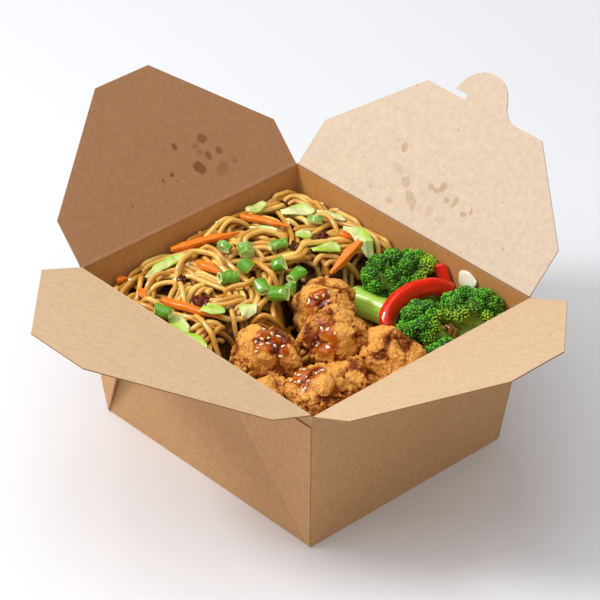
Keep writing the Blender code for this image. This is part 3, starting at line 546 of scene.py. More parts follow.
def box_wall(tree, place, low, high, soft):
    """1 where a coordinate lies between two values, as a socket."""
    rising = add(tree, "ShaderNodeMapRange", {0: place, 1: low - soft, 2: low},
                 interpolation_type="SMOOTHSTEP")
    falling = add(tree, "ShaderNodeMapRange", {0: place, 1: high, 2: high + soft, 3: 1.0, 4: 0.0},
                  interpolation_type="SMOOTHSTEP")
    both = add(tree, "ShaderNodeMath", {0: rising.outputs[0], 1: falling.outputs[0]},
               operation="MULTIPLY")
    return both.outputs[0]


# Tray board: its inside is darkened as painted shade. Its webs lie proud of the walls that face X;
# they are lightened, and their free edges, which lean away from the corners, lightened more, as
# painted light. The thin sides of the webs are darkened
INSIDE_SHADE_TINT = (0.82, 0.70, 0.46, 1.0)
RIM_TINT = (0.62, 0.55, 0.5, 1.0)
WEB_TINT = 1.07
WEB_EDGE_TINT = 1.22
WEB_SPREAD = 0.834


def wall_gaps(tree, place):
    """How far a place lies outside the walls that face X and Y, and its height, as sockets."""
    axes = add(tree, "ShaderNodeSeparateXYZ", {0: place}).outputs
    gaps = []
    for axis in (0, 1):
        side = add(tree, "ShaderNodeMath", {0: axes[axis]}, operation="ABSOLUTE").outputs[0]
        lean = add(tree, "ShaderNodeMath", {0: axes[2], 1: -TAPER / RIM_HEIGHT, 2: side},
                   operation="MULTIPLY_ADD").outputs[0]
        gap = add(tree, "ShaderNodeMath", {0: lean, 1: (HALF_RIM[axis] - TAPER) * MM},
                  operation="SUBTRACT")
        gaps.append(gap.outputs[0])
    return gaps[0], gaps[1], axes[2]


def tinted_tray(tree, place, base):
    """The tray's board, darkened inside as painted shade, its webs and their free edges lightened as
    painted light, as a socket.
    """
    x_gap, y_gap, height = wall_gaps(tree, place)
    out = add(tree, "ShaderNodeMath", {0: x_gap, 1: y_gap}, operation="MAXIMUM").outputs[0]
    # Painted shade: the inside of the tray is darkened
    inside_shade = add(tree, "ShaderNodeMapRange", {0: out, 1: -0.3 * MM, 2: -0.4 * MM}).outputs[0]
    base = add(tree, "ShaderNodeMix", {0: inside_shade, 6: base, 7: INSIDE_SHADE_TINT}, data_type="RGBA",
               blend_type="MULTIPLY").outputs[2]
    rim = box_wall(tree, out, 0.2 * MM, 0.6 * MM, 0.1 * MM)
    base = add(tree, "ShaderNodeMix", {0: rim, 6: base, 7: RIM_TINT}, data_type="RGBA",
               blend_type="MULTIPLY").outputs[2]
    # Painted light: the webs are lightened, and their free edges more
    web = add(tree, "ShaderNodeMapRange", {0: out, 1: 0.55 * MM, 2: 0.7 * MM}).outputs[0]
    from_edge = add(tree, "ShaderNodeMath", {0: height, 1: WEB_SPREAD, 2: y_gap},
                    operation="MULTIPLY_ADD").outputs[0]
    line = box_wall(tree, from_edge, -0.5 * MM, 0.8 * MM, 0.2 * MM)
    web_highlight = add(tree, "ShaderNodeMath", {0: line, 1: WEB_EDGE_TINT - WEB_TINT, 2: WEB_TINT - 1},
               operation="MULTIPLY_ADD").outputs[0]
    web_highlight = add(tree, "ShaderNodeMath", {0: web_highlight, 1: web, 2: 1.0}, operation="MULTIPLY_ADD").outputs[0]
    return add(tree, "ShaderNodeVectorMath", {0: base, "Scale": web_highlight}, operation="SCALE").outputs[0]


def marked_flap(tree, place, base, settings, pose, half, grease, slits):
    """A flap's board with its grease spots, its slits and its cut edge, as a socket."""
    location, rotation, _ = pose.decompose()
    flat = add(tree, "ShaderNodeMapping",
               {"Vector": place, "Location": location, "Rotation": rotation.to_euler()},
               vector_type="TEXTURE").outputs[0]
    wobble = add(tree, "ShaderNodeTexNoise", {"Vector": place, "Scale": 1 / (2.5 * MM)})
    shift = add(tree, "ShaderNodeVectorMath", {0: wobble.outputs["Color"], 1: (0.5, 0.5, 0.5)},
                operation="SUBTRACT")
    shift = add(tree, "ShaderNodeVectorMath",
                {0: shift.outputs[0], 1: (GREASE_RAGGED, GREASE_RAGGED, 0.0)}, operation="MULTIPLY")
    uneven = add(tree, "ShaderNodeVectorMath", {0: flat, 1: shift.outputs[0]}, operation="ADD")
    for along, up, long, wide, turn, strength in grease:
        spot = add(tree, "ShaderNodeMapping", {
            "Vector": uneven.outputs[0], "Location": (along * MM, up * MM, -BOARD / 2 * MM),
            "Rotation": (0, 0, math.radians(turn)),
            "Scale": (GREASE_REACH * long * MM, GREASE_REACH * wide * MM, 0.4 * MM)},
            vector_type="TEXTURE")
        ball = add(tree, "ShaderNodeTexGradient", {"Vector": spot.outputs[0]},
                   gradient_type="SPHERICAL")
        soaked = add(tree, "ShaderNodeMapRange",
                     {0: ball.outputs["Fac"], 1: 0.02, 2: 0.3, 3: 0.0, 4: strength * GREASE_TINT},
                     interpolation_type="SMOOTHSTEP")
        base = add(tree, "ShaderNodeMix", {0: soaked.outputs[0], 6: base, 7: (*settings.stain, 1)},
                   data_type="RGBA", blend_type="MULTIPLY").outputs[2]
    axes = add(tree, "ShaderNodeSeparateXYZ", {0: flat}).outputs
    for start, end, up in slits:
        along = box_wall(tree, axes[0], (start - half) * MM, (end - half) * MM, 0.3 * MM)
        across = box_wall(tree, axes[1], (up - SLIT_WIDTH / 2) * MM, (up + SLIT_WIDTH / 2) * MM,
                          0.15 * MM)
        cut = add(tree, "ShaderNodeMath", {0: along, 1: across}, operation="MULTIPLY")
        cut = add(tree, "ShaderNodeMath", {0: cut.outputs[0], 1: SLIT_TINT}, operation="MULTIPLY")
        base = add(tree, "ShaderNodeMix", {0: cut.outputs[0], 6: base, 7: (*settings.edge, 1)},
                   data_type="RGBA").outputs[2]
    edge = box_wall(tree, axes[2], -EDGE_HALF, EDGE_HALF, 0.01 * MM)
    return add(tree, "ShaderNodeMix", {0: edge, 6: base, 7: (*settings.edge, 1)},
               data_type="RGBA").outputs[2]


def kraft_board(name, colour, settings, pose=None, half=0.0, grease=(), slits=()):
    """Unbleached kraft board, rolled from brown wood fibre: matte, cloudy at 2 to 4 mm, with
    short darker fibres and a few specks. Grease soaks in as soft darker ovals."""
    material, tree = new_material(name)
    place = add(tree, "ShaderNodeTexCoord").outputs["Object"]
    cloud = add(tree, "ShaderNodeTexNoise", {"Vector": place, "Scale": 1 / (3.2 * MM), "Detail": 5.0,
                                             "Roughness": 0.62})
    grain = add(tree, "ShaderNodeTexNoise", {"Vector": place, "Scale": 1 / (0.55 * MM), "Detail": 3.0,
                                             "Roughness": 0.6})
    warped = add(tree, "ShaderNodeMapping",
                 {"Vector": place, "Rotation": (0.3, 0.5, 0.6), "Scale": (1.0, 5.0, 5.0)})
    fibre = add(tree, "ShaderNodeTexNoise", {"Vector": warped.outputs[0], "Scale": 1 / (2.6 * MM),
                                             "Detail": 3.0, "Distortion": 1.2})
    dark = shaded(colour, 0.9)
    light = shaded(colour, 1.08)
    base = add(tree, "ShaderNodeValToRGB", {0: cloud.outputs[0]},
               stops=((0.28, dark), (0.72, light))).outputs[0]
    fibres = add(tree, "ShaderNodeMapRange", {0: fibre.outputs[0], 1: 0.36, 2: 0.30, 4: 0.6})
    base = add(tree, "ShaderNodeMix",
               {0: fibres.outputs[0], 6: base, 7: (*shaded(colour, 0.74), 1)},
               data_type="RGBA").outputs[2]
    mottle = add(tree, "ShaderNodeMapRange", {0: grain.outputs[0], 1: 0.3, 2: 0.7, 3: 0.95, 4: 1.05})
    base = add(tree, "ShaderNodeVectorMath", {0: base, "Scale": mottle.outputs[0]},
               operation="SCALE").outputs[0]
    specks = add(tree, "ShaderNodeTexVoronoi", {"Vector": place, "Scale": 1 / (9.0 * MM)})
    speck = add(tree, "ShaderNodeMapRange", {0: specks.outputs["Distance"], 1: 0.075, 2: 0.045})
    speck = add(tree, "ShaderNodeMath", {0: speck.outputs[0], 1: 0.6}, operation="MULTIPLY")
    base = add(tree, "ShaderNodeMix", {0: speck.outputs[0], 6: base, 7: (*settings.edge, 1)},
               data_type="RGBA").outputs[2]
    if pose:
        base = marked_flap(tree, place, base, settings, pose, half, grease, slits)
    else:
        base = tinted_tray(tree, place, base)
    rough = add(tree, "ShaderNodeMapRange", {0: grain.outputs[0], 3: 0.62, 4: 0.86})
    relief = add(tree, "ShaderNodeMath", {0: cloud.outputs[0], 1: grain.outputs[0]}, operation="ADD")
    finished(tree, "ShaderNodeBsdfPrincipled", base, relief.outputs[0], 0.03 * MM,
             Roughness=rough.outputs[0], Specular_IOR_Level=0.35)
    return material


# How far a crease stays clear of the corners, and how much of it bends, in millimetres
CREASE_CLEAR = 1.0


def half_crease(node):
    """Half the width of the wall that a flap hangs on, in millimetres."""
    along = JOINTS[FLAP_BODIES[node]]["axis"]
    return HALF_RIM[1 if abs(along[1]) > 0.5 else 0]


def crease_strip(node, reach, material):
    """The folded board over a crease, from the top of its wall to the foot of its flap."""
    pose = flap_frame(node)
    origin, along, away = pose.translation, pose.col[0].xyz, pose.col[1].xyz
    down = Vector((0, 0, -1))
    half = half_crease(node) * MM - CREASE_CLEAR * MM
    path = [(down, reach, 0.33), (down, 0.5 * reach, 0.38), (down, 0.2 * reach, 0.47),
            (away, 0.0, 0.5), (away, 0.2 * reach, 0.47), (away, 0.5 * reach, 0.38), (away, reach, 0.33)]
    outward = Vector((origin.x, origin.y, 0)).normalized()
    bm = bmesh.new()
    rows = []
    for end in (-1, 1):
        inner, outer = [], []
        for way, distance, thick in path:
            spot = origin + way * distance + along * (end * half)
            if way is down:
                spot -= outward * (BOARD / 2 * MM + distance * 0.1)
                out = outward
            else:
                out = along.cross(away)
            if distance == 0.0:
                out = (outward + along.cross(away)).normalized()
                if out.dot(outward) < 0:
                    out = outward
            inner.append(bm.verts.new(spot - out * thick * MM))
            outer.append(bm.verts.new(spot + out * thick * MM))
        rows.append(inner + outer[::-1])
    count = len(rows[0])
    for i in range(count):
        bm.faces.new((rows[0][i], rows[0][(i + 1) % count], rows[1][(i + 1) % count], rows[1][i]))
    bm.faces.new(rows[0])
    bm.faces.new(rows[1])
    bmesh.ops.recalc_face_normals(bm, faces=bm.faces)
    fold = object_of(bm, node + "_crease", material)
    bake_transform(fold)


class NOODLEBOX_OT_board(bpy.types.Operator):
    """Finish the tray and its four flaps as kraft board, with their creases"""
    bl_idname = "noodle_box.board"
    bl_label = "Box"

    def execute(self, context):
        settings = context.scene.noodle_box.board
        tray = kraft_board("kraft_tray", settings.tray, settings)
        for slot in NODES["tray"].material_slots:
            slot.material = tray
        for node in FLAP_BODIES:
            slits = SLIT if node == "flap_front_left" else ()
            colour = getattr(settings, node)
            board = kraft_board("kraft_" + node, colour, settings, flap_frame(node),
                                half_crease(node), GREASE.get(node, ()), slits)
            for slot in NODES[node].material_slots:
                slot.material = board
            fold = kraft_board("kraft_fold_" + node, colour, settings, flap_frame(node))
            crease_strip(node, settings.strip, fold)
        return {"FINISHED"}


# The noodles

# Strands that show most, as plan points in millimetres, with how many lie side by side and how
# high the middle of their arch stands off the heap
TOP_STRANDS = (
    (((-16, 28), (-26, 17), (-40, 4), (-56, -14)), 2, 0.0),
    (((-12, 19), (-28, 10), (-44, 2), (-57, -8)), 1, 0.0),
    (((-36, 55), (-45, 40), (-51, 20), (-54, 2)), 3, 1.0),
    (((-33, 54), (-42, 39), (-48, 19), (-50, 4)), 1, 0.5),
    (((-44, 38), (-52, 50), (-52, 60), (-42, 65), (-32, 62)), 2, 1.5),
    (((-38, 55), (-28, 63), (-14, 66), (-7, 57), (-8, 47)), 3, 1.5),
    (((-27, 52), (-23, 41), (-16, 35), (-3, 36)), 2, 0.5),
    (((-38, 32), (-31, 24), (-20, 21)), 2, 0.5),
    (((2, 38), (0, 25), (1, 14), (7, 8)), 1, 0.8),
    (((33, 38), (33, 27), (26, 17), (15, 13)), 2, 0.5),
    (((47, 12), (36, 6), (30, 6)), 1, 0.0),
    (((24, 62), (33, 54), (34, 42), (40, 33)), 2, 0.8),
    (((4, 50), (12, 56), (24, 55), (30, 47)), 2, 0.5),
    (((50, 56), (55, 44), (52, 30), (58, 18)), 2, 1.0),
    (((-60, 30), (-50, 34), (-40, 45), (-24, 44)), 2, 0.5),
    (((-10, 74), (2, 70), (16, 73), (28, 68)), 2, 1.5),
    (((-46, 74), (-36, 69), (-26, 72), (-14, 70)), 1, 2.0),
    (((38, 70), (46, 62), (60, 64)), 2, 1.0),
    (((10, 32), (20, 26), (30, 30), (44, 26)), 2, 0.5),
    (((-62, 60), (-60, 48), (-57, 38), (-60, 24)), 2, 1.0),
    (((44, 18), (48, 10), (60, 8)), 1, 0.0),
    (((-24, 30), (-14, 24), (-6, 26)), 2, 0.5),
)

# The height map: half its cells along X and Y, one millimetre each, the radius of the disc that
# takes its ridges off, and the height of the roof where nothing lies over the noodles
MAP_CELLS = (73, 83)
ROLLING = 4
NO_ROOF = 200.0

# The tangle, in millimetres: how far below the heap it starts, how far strands may stand over the
# heap, and the heights at which the heap and its bed meet the walls, with their clearance
TANGLE_DEPTH = 8.0
TANGLE_OVER = 1.6
TOP_OVER = 4.4
HEAP_HEIGHT, BED_HEIGHT = 66, 46
STRAND_CLEAR = 0.35

# A strand, in millimetres: spacing of its places and of strands side by side, and how far its ends
# dip. It has at least so many places, and it settles in steps, each with a little sag
STRAND_STEP = 1.5
SIDE_BY_SIDE = 2.85
END_DIVE = 2.4
SHORTEST = 12
RELAX_STEPS = 90
SAG = 0.012

# Routes of the tangle: least and most places in one, how sharply it turns back from a wall, and how
# much thinner or thicker its strands are
ROUTE_PLACES = (34, 86)
TURN_BACK = 0.16
THICKNESS_SPREAD = (0.92, 1.05)

# The share of the bundles that lie on the bed under the chicken, how far along Y the bed reaches and
# from where the heap does, in millimetres, and into how many pieces the strands are split
ON_BED = 0.36
BED_TO = 6.0
HEAP_FROM = -12.0
STRAND_PIECES = 4

# Sesame on the noodles: most seeds on a square metre of strands, the least distance between them,
# and the half sizes of a seed
NOODLE_SEEDS = 3.0e4
NOODLE_SEED_GAP = 7.0 * MM
NOODLE_SEED_SIZE = (1.35 * MM, 0.85 * MM, 0.5 * MM)

# The dark inside of the heap, sauce colour and painted shade, in millimetres: spacing of its corners,
# gap to the walls, the heights at which its top and its foot meet them, and how far from its edge the
# heap is read
UNDER_STEP = 4
UNDER_CLEAR = 1.2
UNDER_TOP, UNDER_FOOT = 45, 1
UNDER_MARGIN = 8


def height_map(tree, upwards=False, missing=0.0):
    """Height in millimetres over each cell of the plan, seen from above or from below."""
    start, way = (0.0, Vector((0, 0, 1))) if upwards else (0.2, Vector((0, 0, -1)))
    half_x, half_y = MAP_CELLS
    heights = np.full((2 * half_x + 1, 2 * half_y + 1), missing)
    for i in range(heights.shape[0]):
        for j in range(heights.shape[1]):
            hit = tree.ray_cast(Vector(((i - half_x) * MM, (j - half_y) * MM, start)), way)
            if hit[0] is not None:
                heights[i, j] = hit[0].z / MM
    return heights


def disc(radius):
    reach = range(-radius, radius + 1)
    return [(i, j) for i in reach for j in reach if i * i + j * j <= radius * radius]


def without_ridges(heights, missing):
    """A height map with everything narrower than twice the rolling radius taken off."""
    void = heights == missing
    low = np.where(void, np.inf, heights)
    low = np.min([np.roll(low, step, (0, 1)) for step in disc(ROLLING)], axis=0)
    low[~np.isfinite(low)] = missing
    high = np.max([np.roll(low, step, (0, 1)) for step in disc(ROLLING)], axis=0)
    return np.where(void, missing, high)


class Pile:
    """Height maps, in millimetres, that strands are laid on one after another."""

    def __init__(self, heap, roof):
        self.heap = heap
        self.roof = roof
        self.top = heap - TANGLE_DEPTH

    def patch(self, plan, radius):
        """Cells under a ball at each place: their indices, and the ball's half height there."""
        reach = int(math.ceil(radius))
        steps = np.array([(i, j) for i in range(-reach, reach + 1) for j in range(-reach, reach + 1)])
        cells = np.rint(plan).astype(int)[:, None, :] + steps[None, :, :]
        away = ((cells - plan[:, None, :]) ** 2).sum(axis=2)
        bulge = np.sqrt(np.clip(radius ** 2 - away, 0.0, None))
        columns = np.clip(cells[..., 0] + MAP_CELLS[0], 0, self.top.shape[0] - 1)
        rows = np.clip(cells[..., 1] + MAP_CELLS[1], 0, self.top.shape[1] - 1)
        return columns, rows, bulge, away < radius ** 2

    def lay(self, plan, radius, over, arch=0.0):
        """Heights at which a strand comes to rest, cut to its longest free run, or None."""
        columns, rows, bulge, under = self.patch(plan, radius)
        floor = np.where(under, self.top[columns, rows] + bulge, -np.inf).max(axis=1)
        roof = np.where(under, self.roof[columns, rows] - bulge, np.inf).min(axis=1)
        limit = self.heap[columns[:, columns.shape[1] // 2], rows[:, rows.shape[1] // 2]] + over
        height = floor.copy()
        for _ in range(RELAX_STEPS):
            mean = height.copy()
            mean[1:-1] = (height[:-2] + height[2:]) / 2
            height = np.minimum(np.maximum(floor, mean - SAG), np.maximum(roof, floor))
        free = (floor <= roof) & (height <= limit)
        start, end = longest_run(free)
        if end - start < SHORTEST:
            return None
        plan, height = plan[start:end].copy(), height[start:end].copy()
        roof = roof[start:end]
        share = np.linspace(0.0, 1.0, len(height))
        height = np.minimum(height + arch * np.sin(math.pi * share) ** 2, roof)
        for i, part in ((0, 1.0), (1, 0.45), (2, 0.12)):
            height[i] -= END_DIVE * part
            height[-1 - i] -= END_DIVE * part
        columns, rows, bulge, under = self.patch(plan, radius)
        tops = np.where(under, height[:, None] + bulge, -np.inf)
        np.maximum.at(self.top, (columns[under], rows[under]), tops[under])
        return np.column_stack((plan, height))


def longest_run(flags):
    """Start and end of the longest stretch of true values."""
    best, start = (0, 0), 0
    for i, flag in enumerate(list(flags) + [False]):
        if not flag:
            if i - start > best[1] - best[0]:
                best = (start, i)
            start = i + 1
    return best


def wander(draw, low_y, high_y, limit):
    """A random plan route with slow bends, turned back from the walls."""
    x, y = draw.uniform(-limit[0], limit[0]), draw.uniform(low_y, high_y)
    heading = draw.uniform(0, 2 * math.pi)
    phase, swing = draw.uniform(0, 100), draw.uniform(0.03, 0.10)
    bias = draw.uniform(-0.03, 0.03)
    places = []
    for i in range(draw.randint(*ROUTE_PLACES)):
        bend = bias + swing * noise.noise(Vector((i * STRAND_STEP / 22, phase, 0.3))) * 2
        ahead = (x + 9 * math.cos(heading), y + 9 * math.sin(heading))
        if abs(ahead[0]) > limit[0] or not low_y < ahead[1] < high_y:
            back = math.atan2((low_y + high_y) / 2 - y, -x)
            side = math.sin(back - heading)
            bend = math.copysign(TURN_BACK, side)
        heading += bend * STRAND_STEP
        x += STRAND_STEP * math.cos(heading)
        y += STRAND_STEP * math.sin(heading)
        places.append((x, y))
    return np.array(places)


def shifted(plan, offset, phase):
    """A route beside another one, at an offset that drifts a little."""
    ahead = np.gradient(plan, axis=0)
    ahead /= np.linalg.norm(ahead, axis=1)[:, None]
    side = np.column_stack((-ahead[:, 1], ahead[:, 0]))
    drift = np.array([noise.noise(Vector((i * STRAND_STEP / 25, phase, 1.7))) for i in range(len(plan))])
    return plan + side * (offset * (1 + 0.25 * drift) + 0.8 * drift)[:, None]


def inside_walls(plan, limit):
    return np.clip(plan, (-limit[0], -limit[1]), limit)


def tangle(settings, pile):
    """All strands as arrays of places: the tangle first, then the ones that show most."""
    draw = random.Random(settings.seed)
    radius = settings.radius / MM
    clear = BOARD + radius + STRAND_CLEAR
    limit = (half_width(0, HEAP_HEIGHT) - clear, half_width(1, HEAP_HEIGHT) - clear)
    low = (half_width(0, BED_HEIGHT) - clear, half_width(1, BED_HEIGHT) - clear)
    strands = []

    def lay_bundle(plan, count, over, arch, walls):
        for k in range(count):
            thick = radius * draw.uniform(*THICKNESS_SPREAD)
            beside = shifted(plan, (k - (count - 1) / 2) * SIDE_BY_SIDE, draw.uniform(0, 50))
            laid = pile.lay(inside_walls(beside, walls), thick, over, arch)
            if laid is not None:
                strands.append((laid, thick, draw.random()))

    tries = 0
    while len(strands) < settings.strands and tries < 4 * settings.strands:
        tries += 1
        on_bed = draw.random() < ON_BED
        span = (-low[1], BED_TO) if on_bed else (HEAP_FROM, limit[1])
        walls = low if on_bed else limit
        plan = wander(draw, *span, walls)
        lay_bundle(plan, draw.choice((1, 2, 2, 3)), TANGLE_OVER, 0.0, walls)
    for points, count, arch in TOP_STRANDS:
        lay_bundle(np.array(smooth_path(points, STRAND_STEP)), count, TOP_OVER, arch, limit)
    return strands


def strands_object(name, strands, settings, heap, material, tree):
    """One mesh of strands, each a round tube along its path."""
    places, edges, tones, thickness, depths = [], [], [], [], []
    for path, radius, tone in strands:
        start = len(places)
        places += [tuple(place * MM) for place in path]
        edges += [(start + i, start + i + 1) for i in range(len(path) - 1)]
        tones += [tone] * len(path)
        thickness += [radius * MM] * len(path)
        cells = np.rint(path[:, :2]).astype(int) + np.array(MAP_CELLS)
        depths += list(path[:, 2] - heap[cells[:, 0], cells[:, 1]])
    mesh = bpy.data.meshes.new(name)
    mesh.from_pydata(places, edges, [])
    store(mesh, "tone", tones)
    store(mesh, "thickness", thickness)
    # Painted shade: strands that lie deeper under the top of the heap are marked to be darkened
    store(mesh, "sunk", ease(1.0, -6.0, np.array(depths)))
    guide = object_from(name + "_guide", mesh)
    piece = grown(guide, name, tree, Sides=settings.sides, Material=material)
    bpy.data.objects.remove(guide, do_unlink=True)
    return piece


def sauce_and_shade_bed(heap, material):
    """The dark inside of the heap, sauce and painted shade, a closed body just under the tangle."""
    half_x, half_y = MAP_CELLS
    limit_x, limit_y = half_width(0, UNDER_TOP) - UNDER_CLEAR, half_width(1, UNDER_TOP) - UNDER_CLEAR
    columns = range(half_x % UNDER_STEP, 2 * half_x + 1, UNDER_STEP)
    rows = range(half_y % UNDER_STEP, 2 * half_y + 1, UNDER_STEP)
    bm = bmesh.new()
    grid = []
    for i in columns:
        line = []
        for j in rows:
            x, y = i - half_x, j - half_y
            z = heap[min(max(i, UNDER_MARGIN), 2 * half_x - UNDER_MARGIN),
                     min(max(j, UNDER_MARGIN), 2 * half_y - UNDER_MARGIN)]
            z -= TANGLE_DEPTH + 0.5
            place = (min(max(x, -limit_x), limit_x) * MM, min(max(y, -limit_y), limit_y) * MM, z * MM)
            line.append(bm.verts.new(place))
        grid.append(line)
    for a, b in zip(grid, grid[1:]):
        for j in range(len(a) - 1):
            bm.faces.new((a[j], b[j], b[j + 1], a[j + 1]))
    rim = [edge for edge in bm.edges if edge.is_boundary]
    made = bmesh.ops.extrude_edge_only(bm, edges=rim)["geom"]
    for vert in [item for item in made if isinstance(item, bmesh.types.BMVert)]:
        share = (half_width(0, UNDER_FOOT) - UNDER_CLEAR) / limit_x
        vert.co = Vector((vert.co.x * share, vert.co.y * share, (BOARD + 0.4) * MM))
    bmesh.ops.edgeloop_fill(bm, edges=[edge for edge in bm.edges if edge.is_boundary])
    bmesh.ops.remove_doubles(bm, verts=bm.verts, dist=0.05 * MM)
    bmesh.ops.recalc_face_normals(bm, faces=bm.faces)
    for face in bm.faces:
        face.smooth = True
    return object_of(bm, "noodles_under", material)


def open_to_sky(mesh, heap):
    """Note the tops of the strands that lie highest, where seeds come to rest."""
    places, normals = points_of(mesh) / MM, points_of(mesh, "vector")
    cells = np.rint(places[:, :2]).astype(int) + np.array(MAP_CELLS)
    cells = np.clip(cells, 0, np.array(heap.shape) - 1)
    rise = places[:, 2] - heap[cells[:, 0], cells[:, 1]]
    store(mesh, "open", ease(-0.5, 0.5, rise) * ease(0.6, 0.8, normals[:, 2]))


def cooked_noodle(settings):
    """Cooked wheat noodle, pressed through a round die and tossed in soy sauce: smooth, wet and
    a little translucent, golden where bare and browner where the sauce soaked in. Strands that
    lie deep in the heap are darkened as painted shade."""
    material, tree = new_material("cooked_noodle")
    place = add(tree, "ShaderNodeTexCoord").outputs["Object"]
    tone = add(tree, "ShaderNodeAttribute", attribute_name="tone").outputs["Fac"]
    sunk = add(tree, "ShaderNodeAttribute", attribute_name="sunk").outputs["Fac"]
    patch = add(tree, "ShaderNodeTexNoise", {"Vector": place, "Scale": 1 / (9 * MM), "Detail": 3.0})
    fine = add(tree, "ShaderNodeTexNoise", {"Vector": place, "Scale": 1 / (1.4 * MM), "Detail": 4.0})
    mixed = add(tree, "ShaderNodeMath", {0: tone, 1: 0.55}, operation="MULTIPLY")
    mixed = add(tree, "ShaderNodeMath", {0: patch.outputs[0], 1: 0.75, 2: mixed.outputs[0]},
                operation="MULTIPLY_ADD")
    colour = add(tree, "ShaderNodeValToRGB", {0: mixed.outputs[0]},
                 stops=((0.3, settings.light), (0.95, settings.dark))).outputs[0]
    # Painted shade: strands deep in the heap are darkened
    depth_shade_share = add(tree, "ShaderNodeMath", {0: sunk, 1: 0.75}, operation="MULTIPLY")
    colour = add(tree, "ShaderNodeMix",
                 {0: depth_shade_share.outputs[0], 6: colour, 7: (*shaded(settings.dark, 0.42), 1)},
                 data_type="RGBA").outputs[2]
    rough = add(tree, "ShaderNodeMapRange", {0: fine.outputs[0], 3: 0.24, 4: 0.44})
    finished(tree, "ShaderNodeBsdfPrincipled", colour, fine.outputs[0], 0.06 * MM,
             Roughness=rough.outputs[0], Subsurface_Weight=0.12, Subsurface_Scale=1.0 * MM,
             Subsurface_Radius=(1.0, 0.6, 0.25), Coat_Weight=0.7, Coat_Roughness=0.1)
    return material


def shade_and_sauce_base(settings):
    """Sauce and painted shade between packed strands: dark brown, wet, lumpy at the strands' thickness.
    """
    material, tree = new_material("sauce_soaked_base")
    place = add(tree, "ShaderNodeTexCoord").outputs["Object"]
    lumps = add(tree, "ShaderNodeTexNoise", {"Vector": place, "Scale": 1 / (3.1 * MM), "Detail": 3.0})
    # Painted shade: the dark brown stands for the shaded depth of the heap as well as sauce
    colour = add(tree, "ShaderNodeValToRGB", {0: lumps.outputs[0]},
                 stops=((0.35, settings.deep), (0.75, shaded(settings.dark, 0.35))))
    finished(tree, "ShaderNodeBsdfPrincipled", colour.outputs[0], lumps.outputs[0], 1.0 * MM,
             Roughness=0.45)
    return material


# The kinds of food that lie on the noodles
LAID_ON_NOODLES = ("chicken", "broccoli", "pepper", "onion", "carrot", "cabbage", "scallion")


class NOODLEBOX_OT_noodles(bpy.types.Operator):
    """Lay the noodles on the heap, strand by strand, under and round everything else"""
    bl_idname = "noodle_box.noodles"
    bl_label = "Noodles"

    def execute(self, context):
        settings = context.scene.noodle_box.noodles
        missing = -1.0
        heap = height_map(tree_of([NODES["noodles"]]), missing=missing)
        heap = without_ridges(heap, missing)
        heap[heap == missing] = np.median(heap[heap != missing])
        others = [node for name, node in NODES.items() if name.startswith(LAID_ON_NOODLES)]
        roof = height_map(tree_of(others), upwards=True, missing=NO_ROOF)
        strands = tangle(settings, Pile(heap, roof))
        material = cooked_noodle(settings)
        tree = strand_tree()
        share = math.ceil(len(strands) / STRAND_PIECES)
        pieces = []
        for i in range(STRAND_PIECES):
            part = strands[i * share:(i + 1) * share]
            pieces.append(strands_object("noodle_strands_%d" % (i + 1), part, settings, heap,
                                         material, tree))
        seeds = sesame_seed(context.scene.noodle_box.toppings)
        strewn = strewn_tree()
        for i, piece in enumerate(pieces):
            open_to_sky(piece.data, heap)
            sesame = grown(piece, "noodle_sesame_%d" % (i + 1), strewn, Where="open",
                           Spacing=NOODLE_SEED_GAP, Density=NOODLE_SEEDS,
                           Size=NOODLE_SEED_SIZE, Least=0.8, Most=1.1, Lift=0.25 * MM,
                           Roundness=2, Seed=i + 20, Material=seeds)
            finish_food(sesame, "noodles")
        bed = sauce_and_shade_bed(heap, shade_and_sauce_base(settings))
        finish_food(bed, "noodles", "noodles")
        for piece in pieces:
            finish_food(piece, "noodles")
        return {"FINISHED"}


# The chicken

# Relief of the crust in millimetres: size of the bumps and how far they stand out, how thick the
# glaze lies on it, and at what share of their size two bumps meet
CRUST_LOBE = (9.5, 2.2)
CRUST_NUB = (2.3, 1.8)
CRUST_GRAIN = (1.2, 0.7)
GLAZE_DEPTH = 0.9
CLEFT = 0.74

# Sesame on the glaze, as on the noodles
CHICKEN_SEEDS = 1.0e5
CHICKEN_SEED_GAP = 3.3 * MM
CHICKEN_SEED_SIZE = (1.2 * MM, 0.75 * MM, 0.45 * MM)

# Glaze on the chicken: piece, middle and half size in plan millimetres
GLAZED = {
    "chicken_middle": ((-15.0, -29.0), (6.5, 9.0)),
    "chicken_left": ((-36.0, -16.0), (9.0, 8.0)),
    "chicken_front": ((-41.0, -47.0), (8.0, 9.0)),
    "chicken_back": ((3.0, -6.0), (6.0, 5.0)),
}


def bumps(place, size, seed):
    """Height on a heap of balls of one size: 1 on their tops, 0 in the clefts between."""
    distances, _ = noise.voronoi(place / size + Vector((seed * 5.3, seed * 2.1, seed * 3.7)))
    return math.sqrt(max(1.0 - (distances[0] / CLEFT) ** 2, 0.0))


